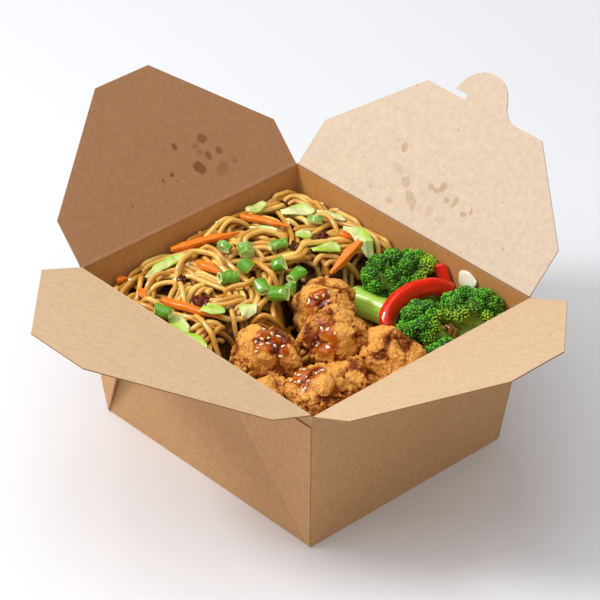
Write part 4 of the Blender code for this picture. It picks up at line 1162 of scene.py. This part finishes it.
def crisp(obj, seed, wet):
    """Raise a fried crust on a smooth piece, and note how high each place stands. The glaze fills
    its hollows where it lies."""
    mesh = obj.data
    places, normals = points_of(mesh), points_of(mesh, "vector")
    relief, tops = np.zeros(len(places)), np.zeros(len(places))
    middle_height = places[:, 2].mean() / MM
    for i, spot in enumerate(places / MM):
        place = Vector(spot)
        lobe = bumps(place, CRUST_LOBE[0], seed)
        bent = place + 1.2 * noise.noise_vector(place / 3.0)
        nub = bumps(bent, CRUST_NUB[0], seed + 2)
        grain = bumps(bent, CRUST_GRAIN[0], seed + 5)
        lower = 0.25 * (middle_height - place.z) / 10
        rugged = min(max(0.5 + lower + 1.3 * noise.noise(place / 8.0 + Vector((seed, 0, 0))), 0.12), 1.0)
        bare = rugged * (1 - 0.8 * wet[i])
        relief[i] = CRUST_LOBE[1] * lobe + bare * (CRUST_NUB[1] * nub + CRUST_GRAIN[1] * grain)
        relief[i] += GLAZE_DEPTH * wet[i]
        tops[i] = 0.4 * lobe + 0.4 * (1 - rugged + rugged * nub) + 0.2 * grain
    move_points(mesh, places + normals * ((relief - relief.mean()) * MM)[:, None])
    store(mesh, "crust", ease(0.3, 0.98, tops))


def glaze_on(obj, node):
    """Note where the glaze and the sesame lie on a piece, and give back where the glaze does."""
    mesh = obj.data
    places, normals = points_of(mesh) / MM, points_of(mesh, "vector")
    wet = np.zeros(len(places))
    if node in GLAZED:
        (x, y), (half_x, half_y) = GLAZED[node]
        ragged = np.array([noise.noise(Vector(spot) / 5.0) for spot in places])
        away = np.hypot((places[:, 0] - x) / half_x, (places[:, 1] - y) / half_y) + 0.55 * ragged
        wet = ease(1.05, 0.75, away) * ease(0.0, 0.45, normals[:, 2])
    store(mesh, "glaze", wet)
    store(mesh, "seeded", ease(0.35, 0.9, wet) * ease(0.35, 0.6, normals[:, 2]))
    return wet


def fried_crust(settings):
    """Battered chicken fried in oil: a rough, oily golden crust, darker down in its clefts as painted
    shade, with thick amber glaze that lies glossy over parts of it."""
    material, tree = new_material("fried_crust")
    place = add(tree, "ShaderNodeTexCoord").outputs["Object"]
    height = add(tree, "ShaderNodeAttribute", attribute_name="crust").outputs["Fac"]
    glaze = add(tree, "ShaderNodeAttribute", attribute_name="glaze").outputs["Fac"]
    patch = add(tree, "ShaderNodeTexNoise", {"Vector": place, "Scale": 1 / (8 * MM), "Detail": 3.0})
    fine = add(tree, "ShaderNodeTexNoise", {"Vector": place, "Scale": 1 / (0.9 * MM), "Detail": 4.0,
                                            "Roughness": 0.6})
    coat = add(tree, "ShaderNodeMapRange", {0: glaze, 3: 0.05, 4: 1.0})
    beads = add(tree, "ShaderNodeTexVoronoi", {"Vector": place, "Scale": 1 / (1.1 * MM)},
                feature="SMOOTH_F1")
    mixed = add(tree, "ShaderNodeMath", {0: patch.outputs[0], 1: 0.45, 2: -0.22},
                operation="MULTIPLY_ADD")
    mixed = add(tree, "ShaderNodeMath", {0: mixed.outputs[0], 1: height}, operation="ADD")
    grainy = add(tree, "ShaderNodeMath", {0: fine.outputs[0], 1: 0.3, 2: -0.15},
                 operation="MULTIPLY_ADD")
    mixed = add(tree, "ShaderNodeMath", {0: mixed.outputs[0], 1: grainy.outputs[0]}, operation="ADD")
    # Painted shade: low places in the crust take the dark cleft colour
    colour = add(tree, "ShaderNodeValToRGB", {0: mixed.outputs[0]},
                 stops=((0.0, settings.clefts), (0.85, settings.tips), (0.38, settings.crust)))
    tinted = add(tree, "ShaderNodeMix",
                 {0: glaze, 6: colour.outputs[0], 7: (*settings.glaze, 1)}, data_type="RGBA",
                 blend_type="MULTIPLY")
    rough = add(tree, "ShaderNodeMapRange", {0: glaze, 3: 0.32, 4: 0.1})
    relief = add(tree, "ShaderNodeMapRange", {0: glaze, 3: 1.0, 4: 0.06})
    rugged = add(tree, "ShaderNodeMath", {0: fine.outputs[0], 1: beads.outputs[0]},
                 operation="SUBTRACT")
    relief = add(tree, "ShaderNodeMath", {0: rugged.outputs[0], 1: relief.outputs[0]},
                 operation="MULTIPLY")
    finished(tree, "ShaderNodeBsdfPrincipled", tinted.outputs[2], relief.outputs[0], 0.55 * MM,
             Roughness=rough.outputs[0], Subsurface_Weight=0.06, Subsurface_Scale=1.0 * MM,
             Subsurface_Radius=(1.0, 0.5, 0.2), Coat_Weight=coat.outputs[0], Coat_Roughness=0.08,
             Specular_IOR_Level=0.28)
    return material


def sesame_seed(settings):
    """Hulled sesame: small cream seeds with a waxy, faintly shiny skin."""
    material, tree = new_material("sesame_seed")
    tone = add(tree, "ShaderNodeAttribute", attribute_name="tone").outputs["Fac"]
    place = add(tree, "ShaderNodeTexCoord").outputs["Object"]
    fine = add(tree, "ShaderNodeTexNoise", {"Vector": place, "Scale": 1 / (0.5 * MM)})
    colour = add(tree, "ShaderNodeValToRGB", {0: tone},
                 stops=((0.0, shaded(settings.sesame, 0.82)), (1.0, settings.sesame)))
    finished(tree, "ShaderNodeBsdfPrincipled", colour.outputs[0], fine.outputs[0], 0.03 * MM,
             Roughness=0.35)
    return material


class NOODLEBOX_OT_chicken(bpy.types.Operator):
    """Give the chicken its fried crust, glaze and sesame"""
    bl_idname = "noodle_box.chicken"
    bl_label = "Fried chicken"

    def execute(self, context):
        settings = context.scene.noodle_box.chicken
        crust = fried_crust(settings)
        seed_material = sesame_seed(context.scene.noodle_box.toppings)
        tree = strewn_tree()
        for seed, node in enumerate(nodes_of("chicken")):
            piece = fine_copy(node, node + "_crust", settings.cell, rounding=6)
            crisp(piece, seed + 1, glaze_on(piece, node))
            paint(piece, crust)
            if node in GLAZED:
                seeds = grown(piece, node + "_sesame", tree, Where="seeded",
                              Spacing=CHICKEN_SEED_GAP, Density=CHICKEN_SEEDS,
                              Size=CHICKEN_SEED_SIZE, Least=0.85, Most=1.1, Lift=0.3 * MM,
                              Roundness=2, Seed=seed + 3, Material=seed_material)
                finish_food(seeds, "chicken")
            finish_food(piece, "chicken", node)
        return {"FINISHED"}


# The broccoli

# Florets, in millimetres: middle and half sizes of the crown, its turn in degrees, the foot of the
# stem, the stem's radii at the foot and at the top, and the number of domes in the crown
FLORETS = {
    "broccoli_back": ((55, -12, 69.5), (20, 14.5, 13.5), -43, (66, -24, 55), (5.5, 7.5), 40),
    "broccoli_front": ((35, -47, 68), (13, 12, 12), 20, (44, -58, 55), (4.5, 6), 26),
    "broccoli_right": ((57, -57, 70), (16.5, 14, 12.5), -43, (49, -64, 55), (5, 6.5), 32),
    "broccoli_low": ((30, -66, 60), (12, 10, 10), 10, None, (4, 4), 20),
}
# Domes of a crown of full size, in millimetres: least and greatest radius, how much of it they
# sink into the crown, and how far round from the stem's side of the crown they stop
DOME_RADIUS = (3.3, 4.6)
FULL_CROWN = 13.5
DOME_SINK = 0.92
STEM_SIDE = 0.45

BRANCH_RADIUS = 1.9
ROD_SIDES = 14
# How far the domes stay off the walls, in millimetres, so that their buds fit in between
CROWN_CLEAR = 1.3
FLORET_CELL = 0.55 * MM

# Buds: most on a square metre, and half sizes of one
BUDS = 4.0e6
BUD_SIZE = (0.68 * MM, 0.68 * MM, 0.8 * MM)
GOLDEN_ANGLE = math.pi * (3 - math.sqrt(5))


def rod(bm, start, end, start_radius, end_radius):
    """A round rod between two places, in millimetres."""
    start, end = Vector(start), Vector(end)
    way = end - start
    turn = way.to_track_quat("Z", "Y").to_matrix().to_4x4()
    pose = Matrix.Translation((start + end) / 2 * MM) @ turn
    bmesh.ops.create_cone(bm, cap_ends=True, segments=ROD_SIDES, radius1=start_radius * MM,
                          radius2=end_radius * MM, depth=way.length * MM, matrix=pose)


def domes_of(node, seed):
    """Middles and radii of the domes that make up a crown, in millimetres."""
    middle, half, turn, foot, _, count = FLORETS[node]
    draw = random.Random(seed)
    turned = Matrix.Rotation(math.radians(turn), 3, "Z")
    down = (Vector(foot) - Vector(middle)).normalized() if foot else Vector((0, 0, -1))
    domes = []
    for i in range(count):
        height = 1 - 2 * (i + 0.5) / count
        angle = GOLDEN_ANGLE * i + draw.uniform(-0.25, 0.25)
        flat = math.sqrt(1 - height * height)
        way = Vector((flat * math.cos(angle), flat * math.sin(angle), height))
        if (turned @ way).dot(down) > STEM_SIDE:
            continue
        radius = draw.uniform(*DOME_RADIUS) * (min(half) / FULL_CROWN) ** 0.5
        place = Vector([way[k] * (half[k] - DOME_SINK * radius) for k in range(3)])
        domes.append((Vector(middle) + turned @ place, radius))
    return domes


def floret(node, name, seed):
    """A floret: domes on branches from one stem, and where buds and pale parts are on it."""
    middle, half, _, foot, stem, _ = FLORETS[node]
    domes = domes_of(node, seed)
    base = Vector(foot) if foot else Vector(middle) - Vector((0, 0, half[2]))
    hub = Vector(middle).lerp(base, 0.4)
    bm = bmesh.new()
    rod(bm, base, hub, stem[0], stem[1] * 0.85)
    for place, radius in domes:
        bmesh.ops.create_icosphere(bm, subdivisions=3, radius=radius * MM,
                                   matrix=Matrix.Translation(place * MM))
        rod(bm, hub, place, BRANCH_RADIUS * 1.5, BRANCH_RADIUS)
    piece = evened(object_of(bm, name), FLORET_CELL)
    mesh = piece.data
    ruffled(mesh, 3.4, 0.9, seed)
    kept_inside(mesh, CROWN_CLEAR)
    places = points_of(mesh) / MM
    middles = np.array([place for place, _ in domes])
    radii = np.array([radius for _, radius in domes])
    outward = middles - np.array(hub)
    outward /= np.linalg.norm(outward, axis=1)[:, None]
    away = np.linalg.norm(places[:, None, :] - middles[None], axis=2) - radii
    nearest = away.argmin(axis=1)
    rise = ((places - middles[nearest]) * outward[nearest]).sum(axis=1) / radii[nearest]
    close = away.min(axis=1) < 1.0
    patch = np.array([noise.noise(Vector(spot) / 9.0 + Vector((seed, 0, 0))) for spot in places])
    aside = (base - Vector(middle)) * Vector((1, 1, 0.35))
    low = (places - np.array(middle)) @ np.array(aside.normalized()) / min(half)
    store(mesh, "crown", np.where(close & (rise > -0.3), 1.0, 0.0))
    # Painted shade and light: how high each place stands on its dome
    store(mesh, "bunch", ease(-0.5, 0.75, rise))
    store(mesh, "pale", ease(0.15, 0.75, 0.6 * patch + low + 0.15))
    return piece


def broccoli_buds(settings):
    """Steamed broccoli buds: tight waxy beads, deep green with paler young ones, darker down
    between the domes as painted shade and lighter on their tops as painted light.
    """
    material, tree = new_material("broccoli_buds")
    tone = add(tree, "ShaderNodeAttribute", attribute_name="tone").outputs["Fac"]
    bunch = add(tree, "ShaderNodeAttribute", attribute_name="bunch").outputs["Fac"]
    pale = add(tree, "ShaderNodeAttribute", attribute_name="pale").outputs["Fac"]
    colour = add(tree, "ShaderNodeValToRGB", {0: tone},
                 stops=((0.1, shaded(settings.buds, 0.45)),
                        (0.9, shaded(settings.buds, 1.9)))).outputs[0]
    young = add(tree, "ShaderNodeMath", {0: pale, 1: 0.8}, operation="MULTIPLY")
    colour = add(tree, "ShaderNodeMix", {0: young.outputs[0], 6: colour, 7: (*settings.young, 1)},
                 data_type="RGBA").outputs[2]
    # Painted shade and light: buds darker down between the domes, lighter on their tops
    lit = add(tree, "ShaderNodeMapRange", {0: bunch, 3: 0.3, 4: 1.15})
    colour = add(tree, "ShaderNodeVectorMath", {0: colour, "Scale": lit.outputs[0]},
                 operation="SCALE").outputs[0]
    finished(tree, "ShaderNodeBsdfPrincipled", colour, Roughness=0.34, Specular_IOR_Level=0.35)
    return material


def broccoli_stem(settings):
    """Steamed broccoli stem: pale green and smooth with fine lengthwise fibres; under the buds it
    is dark green, painted shade that shows between them."""
    material, tree = new_material("broccoli_stem")
    place = add(tree, "ShaderNodeTexCoord").outputs["Object"]
    crown = add(tree, "ShaderNodeAttribute", attribute_name="crown").outputs["Fac"]
    patch = add(tree, "ShaderNodeTexNoise", {"Vector": place, "Scale": 1 / (5 * MM), "Detail": 4.0})
    colour = add(tree, "ShaderNodeValToRGB", {0: patch.outputs[0]},
                 stops=((0.3, shaded(settings.stem, 0.75)), (0.75, settings.stem)))
    # Painted shade: the crown under the buds is dark green
    tinted = add(tree, "ShaderNodeMix",
                 {0: crown, 6: colour.outputs[0], 7: (*shaded(settings.buds, 0.35), 1)},
                 data_type="RGBA")
    finished(tree, "ShaderNodeBsdfPrincipled", tinted.outputs[2], patch.outputs[0], 0.3 * MM,
             Roughness=0.4, Subsurface_Weight=0.15, Subsurface_Scale=2.0 * MM)
    return material


class NOODLEBOX_OT_broccoli(bpy.types.Operator):
    """Bunch the crowns of the broccoli and cover them with buds"""
    bl_idname = "noodle_box.broccoli"
    bl_label = "Broccoli"

    def execute(self, context):
        settings = context.scene.noodle_box.greens
        buds, stem = broccoli_buds(settings), broccoli_stem(settings)
        tree = strewn_tree()
        for seed, node in enumerate(FLORETS):
            piece = floret(node, node + "_floret", seed + 3)
            paint(piece, stem)
            beads = grown(piece, node + "_buds", tree, Where="crown", Spacing=settings.bud_gap,
                          Density=BUDS, Size=BUD_SIZE, Least=0.75, Most=1.25, Lift=0.25 * MM,
                          Roundness=1, Seed=seed, Material=buds)
            finish_food(beads, "broccoli")
            finish_food(piece, "broccoli", node)
        return {"FINISHED"}


# Strips, sticks, leaves and rings

def across_of(places):
    """Places along and across a long piece, each from -1 to 1."""
    centred = places - places.mean(axis=0)
    _, _, axes = np.linalg.svd(centred, full_matrices=False)
    spans = centred @ axes.T
    return spans / np.abs(spans).max(axis=0)


def slimmed(mesh, share):
    """Narrow a long piece towards both its ends, by a share of its width there."""
    places = points_of(mesh)
    middle = places.mean(axis=0)
    _, _, axes = np.linalg.svd(places - middle, full_matrices=False)
    spans = (places - middle) @ axes.T
    end = np.abs(spans[:, 0]) / np.abs(spans[:, 0]).max()
    spans[:, 1:] *= (1 - share * end ** 2.5)[:, None]
    move_points(mesh, middle + spans @ axes)


def curled(mesh, size, depth, seed):
    """Bend a piece by slow noise that moves both its faces alike, in millimetres."""
    places = points_of(mesh) / MM
    bend = np.array([noise.noise_vector(Vector(spot) / size + Vector((seed, 0, 7))) for spot in places])
    move_points(mesh, (places + bend * depth) * MM)


def wet_skin(name, stops, roughness, grain, depth, coat=0.4, scatter=0.12):
    """A cooked vegetable's surface: smooth and wet, coloured by the tone of its mesh and by fine
    uneven grain, whose size and depth are in millimetres."""
    material, tree = new_material(name)
    place = add(tree, "ShaderNodeTexCoord").outputs["Object"]
    value = add(tree, "ShaderNodeAttribute", attribute_name="tone").outputs["Fac"]
    fine = add(tree, "ShaderNodeTexNoise", {"Vector": place, "Scale": 1 / (grain * MM), "Detail": 4.0})
    uneven = add(tree, "ShaderNodeMath", {0: fine.outputs[0], 1: 0.5, 2: -0.25},
                 operation="MULTIPLY_ADD")
    mixed = add(tree, "ShaderNodeMath", {0: uneven.outputs[0], 1: value}, operation="ADD")
    colour = add(tree, "ShaderNodeValToRGB", {0: mixed.outputs[0]}, stops=stops)
    finished(tree, "ShaderNodeBsdfPrincipled", colour.outputs[0], fine.outputs[0], depth * MM,
             Roughness=roughness, Subsurface_Weight=scatter, Subsurface_Scale=1.5 * MM,
             Coat_Weight=coat, Coat_Roughness=0.12)
    return material


# Strips, in millimetres: route, width and thickness
STRIPS = {
    "broccoli_stalk": (((36, 4, 57.5), (38.5, -8, 57.5), (41, -21, 57.5)), 14, 13),
    "pepper_curved": (((22, -35, 63), (26, -31, 68.5), (35, -28.5, 72.5), (46, -29, 74),
                       (56, -32.5, 73.5), (64, -37, 69)), 9, 7),
    "pepper_short": (((66.9, -24.5, 78), (66, -30.5, 70), (65, -36, 62)), 6.5, 3.6),
    "onion_slice": (((68.7, -37, 75), (68.9, -42, 76.5), (68.3, -47.5, 74.5)), 8, 1.6),
}
STRIP_FACING = (0.35, 0.37, 0.86)
STRIP_SIDES = 24
STRIP_STEP = 0.8
STRIP_BLUNT = 1.2


def strip(node, name, cell):
    """A strip along a curved route, its section a rounded box, its ends rounded over a little."""
    route, width, thickness = STRIPS[node]
    places = smooth_path(route, STRIP_STEP)
    bm = bmesh.new()
    rings = []
    for i, place in enumerate(places):
        along = (places[min(i + 1, len(places) - 1)] - places[max(i - 1, 0)]).normalized()
        across = along.cross(Vector(STRIP_FACING)).normalized()
        up = across.cross(along)
        end = min(i, len(places) - 1 - i) * STRIP_STEP
        size = math.sqrt(max(1 - (1 - min(end / STRIP_BLUNT, 1.0)) ** 2, 0.35))
        ring = []
        for k in range(STRIP_SIDES):
            angle = 2 * math.pi * k / STRIP_SIDES
            x, y = math.cos(angle), math.sin(angle)
            x, y = math.copysign(abs(x) ** 0.75, x), math.copysign(abs(y) ** 0.75, y)
            spot = place + (across * x * thickness / 2 + up * y * width / 2) * size
            ring.append(bm.verts.new(spot * MM))
        rings.append(ring)
    for a, b in zip(rings, rings[1:]):
        for k in range(STRIP_SIDES):
            bm.faces.new((a[k], a[(k + 1) % STRIP_SIDES], b[(k + 1) % STRIP_SIDES], b[k]))
    bm.faces.new(rings[0])
    bm.faces.new(rings[-1])
    bmesh.ops.recalc_face_normals(bm, faces=bm.faces)
    return evened(object_of(bm, name), cell, rounding=4)


class NOODLEBOX_OT_strips(bpy.types.Operator):
    """Finish the broccoli stalk, the red pepper and the onion"""
    bl_idname = "noodle_box.strips"
    bl_label = "Stalk, pepper and onion"

    def execute(self, context):
        scene = context.scene.noodle_box
        colours, stem = scene.toppings, scene.greens.stem
        stalk = wet_skin("steamed_stalk", ((0.1, stem), (0.8, shaded(stem, 1.6))), 0.3, 6, 0.3)
        pepper = wet_skin("red_pepper", ((0.1, shaded(colours.pepper, 0.6)), (0.9, colours.pepper)),
                          0.14, 9, 0.1, coat=0.5)
        onion = wet_skin("cooked_onion", ((0.1, shaded(colours.onion, 0.7)), (0.9, colours.onion)),
                         0.25, 4, 0.1, scatter=0.3)
        looks = {"broccoli_stalk": ("broccoli_stalk", stalk), "pepper_curved": ("pepper", pepper),
                 "pepper_short": ("pepper", pepper), "onion_slice": ("onion", onion)}
        for seed, (node, (slot, material)) in enumerate(looks.items()):
            piece = strip(node, node + "_piece", colours.cell)
            ruffled(piece.data, 7.0, 0.35, seed)
            spans = across_of(points_of(piece.data))
            # Each piece is darker along one edge of its width and lighter along the other
            store(piece.data, "tone", 0.5 + 0.3 * spans[:, 1])
            paint(piece, material)
            finish_food(piece, slot, node)
        return {"FINISHED"}


class NOODLEBOX_OT_carrots(bpy.types.Operator):
    """Finish the carrot sticks, cut by hand and a little uneven"""
    bl_idname = "noodle_box.carrots"
    bl_label = "Carrots"

    def execute(self, context):
        settings = context.scene.noodle_box.toppings
        material = wet_skin("cooked_carrot", ((0.0, shaded(settings.carrot, 0.75)),
                                              (0.9, settings.carrot)), 0.3, 3, 0.15)
        for seed, node in enumerate(nodes_of("carrot")):
            piece = fine_copy(node, node + "_stick", settings.cell, rounding=3)
            slimmed(piece.data, 0.72)
            ruffled(piece.data, 6.0, 0.7, seed)
            spans = across_of(points_of(piece.data))
            store(piece.data, "tone", 0.55 + 0.35 * np.abs(spans[:, 1]))
            paint(piece, material)
            finish_food(piece, "carrot", node)
        return {"FINISHED"}


class NOODLEBOX_OT_cabbage(bpy.types.Operator):
    """Finish the shreds of cabbage, pale at their ribs and green at their edges"""
    bl_idname = "noodle_box.cabbage"
    bl_label = "Cabbage"

    def execute(self, context):
        settings = context.scene.noodle_box.toppings
        material = wet_skin("wilted_cabbage", ((0.15, settings.rib), (0.85, settings.leaf)), 0.3, 2.5,
                            0.2, scatter=0.25)
        draw = random.Random(5)
        for seed, node in enumerate(nodes_of("cabbage")):
            piece = fine_copy(node, node + "_shred", settings.cell, rounding=2)
            slimmed(piece.data, 0.45)
            curled(piece.data, 7.0, 1.5, seed)
            spans = across_of(points_of(piece.data))
            rib = draw.uniform(-0.6, 0.6)
            green = draw.uniform(-0.15, 0.5)
            store(piece.data, "tone", np.clip(green + 0.6 * np.abs(spans[:, 1] - rib), 0, 1))
            paint(piece, material)
            finish_food(piece, "cabbage", node)
        return {"FINISHED"}


RING_CELL = 0.3 * MM


def ring_parts(mesh):
    """0 on the inside of a ring, 0.5 on its cut rims, 1 on its outside."""
    places, normals = points_of(mesh), points_of(mesh, "vector")
    spread = normals.T @ normals
    axis = np.linalg.eigh(spread)[1][:, 0]
    centred = places - places.mean(axis=0)
    radial = centred - np.outer(centred @ axis, axis)
    radial /= np.linalg.norm(radial, axis=1)[:, None] + 1e-9
    outward = (normals * radial).sum(axis=1)
    rim = np.abs(normals @ axis)
    return np.where(rim > 0.75, 0.5, ease(-0.2, 0.5, outward))


class NOODLEBOX_OT_scallions(bpy.types.Operator):
    """Finish the slices of scallion, dark outside and pale inside"""
    bl_idname = "noodle_box.scallions"
    bl_label = "Scallions"

    def execute(self, context):
        settings = context.scene.noodle_box.toppings
        pale = tuple(min(1.0, c * 1.5 + 0.1) for c in settings.flesh)
        material = wet_skin("sliced_scallion", ((0.12, settings.flesh), (0.95, settings.skin),
                                                (0.5, pale)), 0.26, 2.0, 0.08, scatter=0.0)
        draw = random.Random(8)
        for seed, node in enumerate(nodes_of("scallion")):
            piece = fine_copy(node, node + "_slice", RING_CELL, rounding=2)
            store(piece.data, "tone", ring_parts(piece.data) * draw.uniform(0.9, 1.05))
            curled(piece.data, 6.0, 1.1, seed)
            paint(piece, material)
            finish_food(piece, "scallion", node)
        return {"FINISHED"}


# Sauce on the noodles: middle in plan millimetres, half sizes, turn in degrees, and half its depth
SAUCE_POOLS = (
    ((42.7, 34.2), (6.2, 3.6), 20), ((26.1, 34.5), (4.8, 2.8), 60), ((-32.7, 51.9), (2.8, 2.0), 40),
    ((-36.0, 34.5), (6.5, 4.6), 50),
)
POOL_DEPTH = 1.3


def thick_sauce(settings):
    """Reduced soy glaze: nearly black, red where thin, with a mirror-like wet surface."""
    material, tree = new_material("thick_sauce")
    place = add(tree, "ShaderNodeTexCoord").outputs["Object"]
    swirl = add(tree, "ShaderNodeTexNoise", {"Vector": place, "Scale": 1 / (5 * MM)})
    colour = add(tree, "ShaderNodeValToRGB", {0: swirl.outputs[0]},
                 stops=((0.35, settings.sauce), (0.8, shaded(settings.sauce, 3.0))))
    finished(tree, "ShaderNodeBsdfPrincipled", colour.outputs[0], swirl.outputs[0], 0.2 * MM,
             Roughness=0.08, Coat_Weight=0.6, Coat_Roughness=0.05)
    return material


def rest_height(tree, x, y):
    """Height at which a thick sauce rests on the strands round a place in the plan, in metres."""
    hits = [tree.ray_cast(Vector(((x + i) * MM, (y + j) * MM, 0.2)), Vector((0, 0, -1)))[0]
            for i, j in disc(2)]
    heights = [hit.z for hit in hits if hit is not None]
    return 0.6 * max(heights) + 0.4 * sum(heights) / len(heights)


class NOODLEBOX_OT_sauce(bpy.types.Operator):
    """Pour the thick sauce over the noodles in small pools"""
    bl_idname = "noodle_box.sauce"
    bl_label = "Sauce"

    def execute(self, context):
        settings = context.scene.noodle_box.toppings
        strands = [obj for obj in bpy.data.objects if obj.name.startswith("noodle_strands")]
        tree = tree_of(strands)
        bm = bmesh.new()
        for k, ((x, y), (long, wide), turn) in enumerate(SAUCE_POOLS):
            turned = Matrix.Rotation(math.radians(turn), 2)
            ball = bmesh.ops.create_uvsphere(bm, u_segments=36, v_segments=18, radius=1.0)["verts"]
            for vert in ball:
                uneven = 1 + 0.5 * noise.noise(Vector((vert.co.x, vert.co.y, k * 3.1)) * 1.4)
                side = turned @ Vector((long * vert.co.x, wide * vert.co.y)) * uneven
                px, py = x + side.x, y + side.y
                height = rest_height(tree, px, py) + vert.co.z * POOL_DEPTH * MM
                vert.co = Vector((px * MM, py * MM, height))
        for face in bm.faces:
            face.smooth = True
        finish_food(object_of(bm, "thick_sauce", thick_sauce(settings)), "noodles")
        return {"FINISHED"}


# The stage

# The camera, fitted to the photograph: place in metres, turn in degrees, and its lens and sensor in
# millimetres
CAMERA_PLACE = (-0.8570, -0.9046, 0.9249)
CAMERA_TURN = (55.69486, -0.56946, -42.97316)
LENS = 187.76
SENSOR = 36.0
# Lights: shape, direction from the box, and size in metres, all at one distance
LIGHTS = {"key": ("DISK", (-0.55, 0.42, 0.72), 0.4), "top": ("SQUARE", (-0.2, 0.2, 0.96), 1.8)}
LIGHT_DISTANCE = 1.6
FLOOR_SIZE = 6.0
FLOOR_DROP = 0.05 * MM
FAR_CLIP = 20.0


def studio_floor(settings):
    """A sprayed pale sweep: matte with a faint, blurred gloss and barely visible clouding."""
    material, tree = new_material("studio_floor")
    place = add(tree, "ShaderNodeTexCoord").outputs["Object"]
    cloud = add(tree, "ShaderNodeTexNoise", {"Vector": place, "Scale": 1 / 0.4, "Detail": 2.0})
    colour = add(tree, "ShaderNodeValToRGB", {0: cloud.outputs[0]},
                 stops=((0.3, shaded(settings.floor, 0.985)), (0.7, settings.floor)))
    finished(tree, "ShaderNodeBsdfPrincipled", colour.outputs[0], Roughness=0.18,
             Specular_IOR_Level=0.4)
    return material


class NOODLEBOX_OT_stage(bpy.types.Operator):
    """Set the floor, the soft light and the camera"""
    bl_idname = "noodle_box.stage"
    bl_label = "Stage"

    def execute(self, context):
        settings = context.scene.noodle_box.stage
        bm = bmesh.new()
        bmesh.ops.create_grid(bm, x_segments=2, y_segments=2, size=FLOOR_SIZE / 2)
        floor = object_of(bm, "floor", studio_floor(settings))
        floor.location.z = -FLOOR_DROP

        for name, (shape, way, size) in LIGHTS.items():
            way = Vector(way).normalized()
            lamp = bpy.data.lights.new(name + "_light", "AREA")
            lamp.shape = shape
            lamp.size = size
            lamp.energy = getattr(settings, name)
            light = bpy.data.objects.new(name + "_light", lamp)
            light.location = way * LIGHT_DISTANCE
            light.rotation_euler = way.to_track_quat("Z", "Y").to_euler()
            context.scene.collection.objects.link(light)

        world = bpy.data.worlds.new("soft_room")
        world.use_nodes = True
        sky = world.node_tree.nodes["Background"]
        sky.inputs["Color"].default_value = (1.0, 1.0, 1.0, 1.0)
        sky.inputs["Strength"].default_value = settings.fill
        context.scene.world = world
        world.cycles_visibility.glossy = False
        context.scene.view_settings.view_transform = "Standard"

        lens = bpy.data.cameras.new("camera")
        lens.lens = LENS
        lens.sensor_width = SENSOR
        lens.clip_end = FAR_CLIP
        camera = bpy.data.objects.new("camera", lens)
        camera.location = CAMERA_PLACE
        camera.rotation_euler = [math.radians(angle) for angle in CAMERA_TURN]
        context.scene.collection.objects.link(camera)
        context.scene.camera = camera
        return {"FINISHED"}


OPERATORS = (
    NOODLEBOX_OT_stage, NOODLEBOX_OT_board, NOODLEBOX_OT_noodles, NOODLEBOX_OT_chicken,
    NOODLEBOX_OT_broccoli, NOODLEBOX_OT_strips, NOODLEBOX_OT_carrots, NOODLEBOX_OT_cabbage,
    NOODLEBOX_OT_scallions, NOODLEBOX_OT_sauce,
)


class NOODLEBOX_PT_panel(bpy.types.Panel):
    """Lists the pieces of the noodle box"""
    bl_idname = "NOODLEBOX_PT_panel"
    bl_label = "Noodle box"
    bl_space_type = "VIEW_3D"
    bl_region_type = "UI"
    bl_category = "Noodle box"

    def draw(self, context):
        for operator in OPERATORS:
            self.layout.operator(operator.bl_idname)
        settings = context.scene.noodle_box
        for name in ("board", "noodles", "chicken", "greens", "toppings", "stage"):
            group = getattr(settings, name)
            for field in type(group).__annotations__:
                self.layout.prop(group, field)


CLASSES = (
    NoodleBoxBoard, NoodleBoxNoodles, NoodleBoxChicken, NoodleBoxGreens, NoodleBoxToppings,
    NoodleBoxStage, NoodleBoxSettings, *OPERATORS, NOODLEBOX_PT_panel,
)


def register():
    for item in CLASSES:
        bpy.utils.register_class(item)
    bpy.types.Scene.noodle_box = bpy.props.PointerProperty(
        type=NoodleBoxSettings, name="Noodle box", description="Sizes and colours of the box")


def unregister():
    del bpy.types.Scene.noodle_box
    for item in reversed(CLASSES):
        bpy.utils.unregister_class(item)


def main():
    register()
    for operator in OPERATORS:
        group, name = operator.bl_idname.split(".")
        getattr(getattr(bpy.ops, group), name)()


if __name__ == "__main__":
    main()
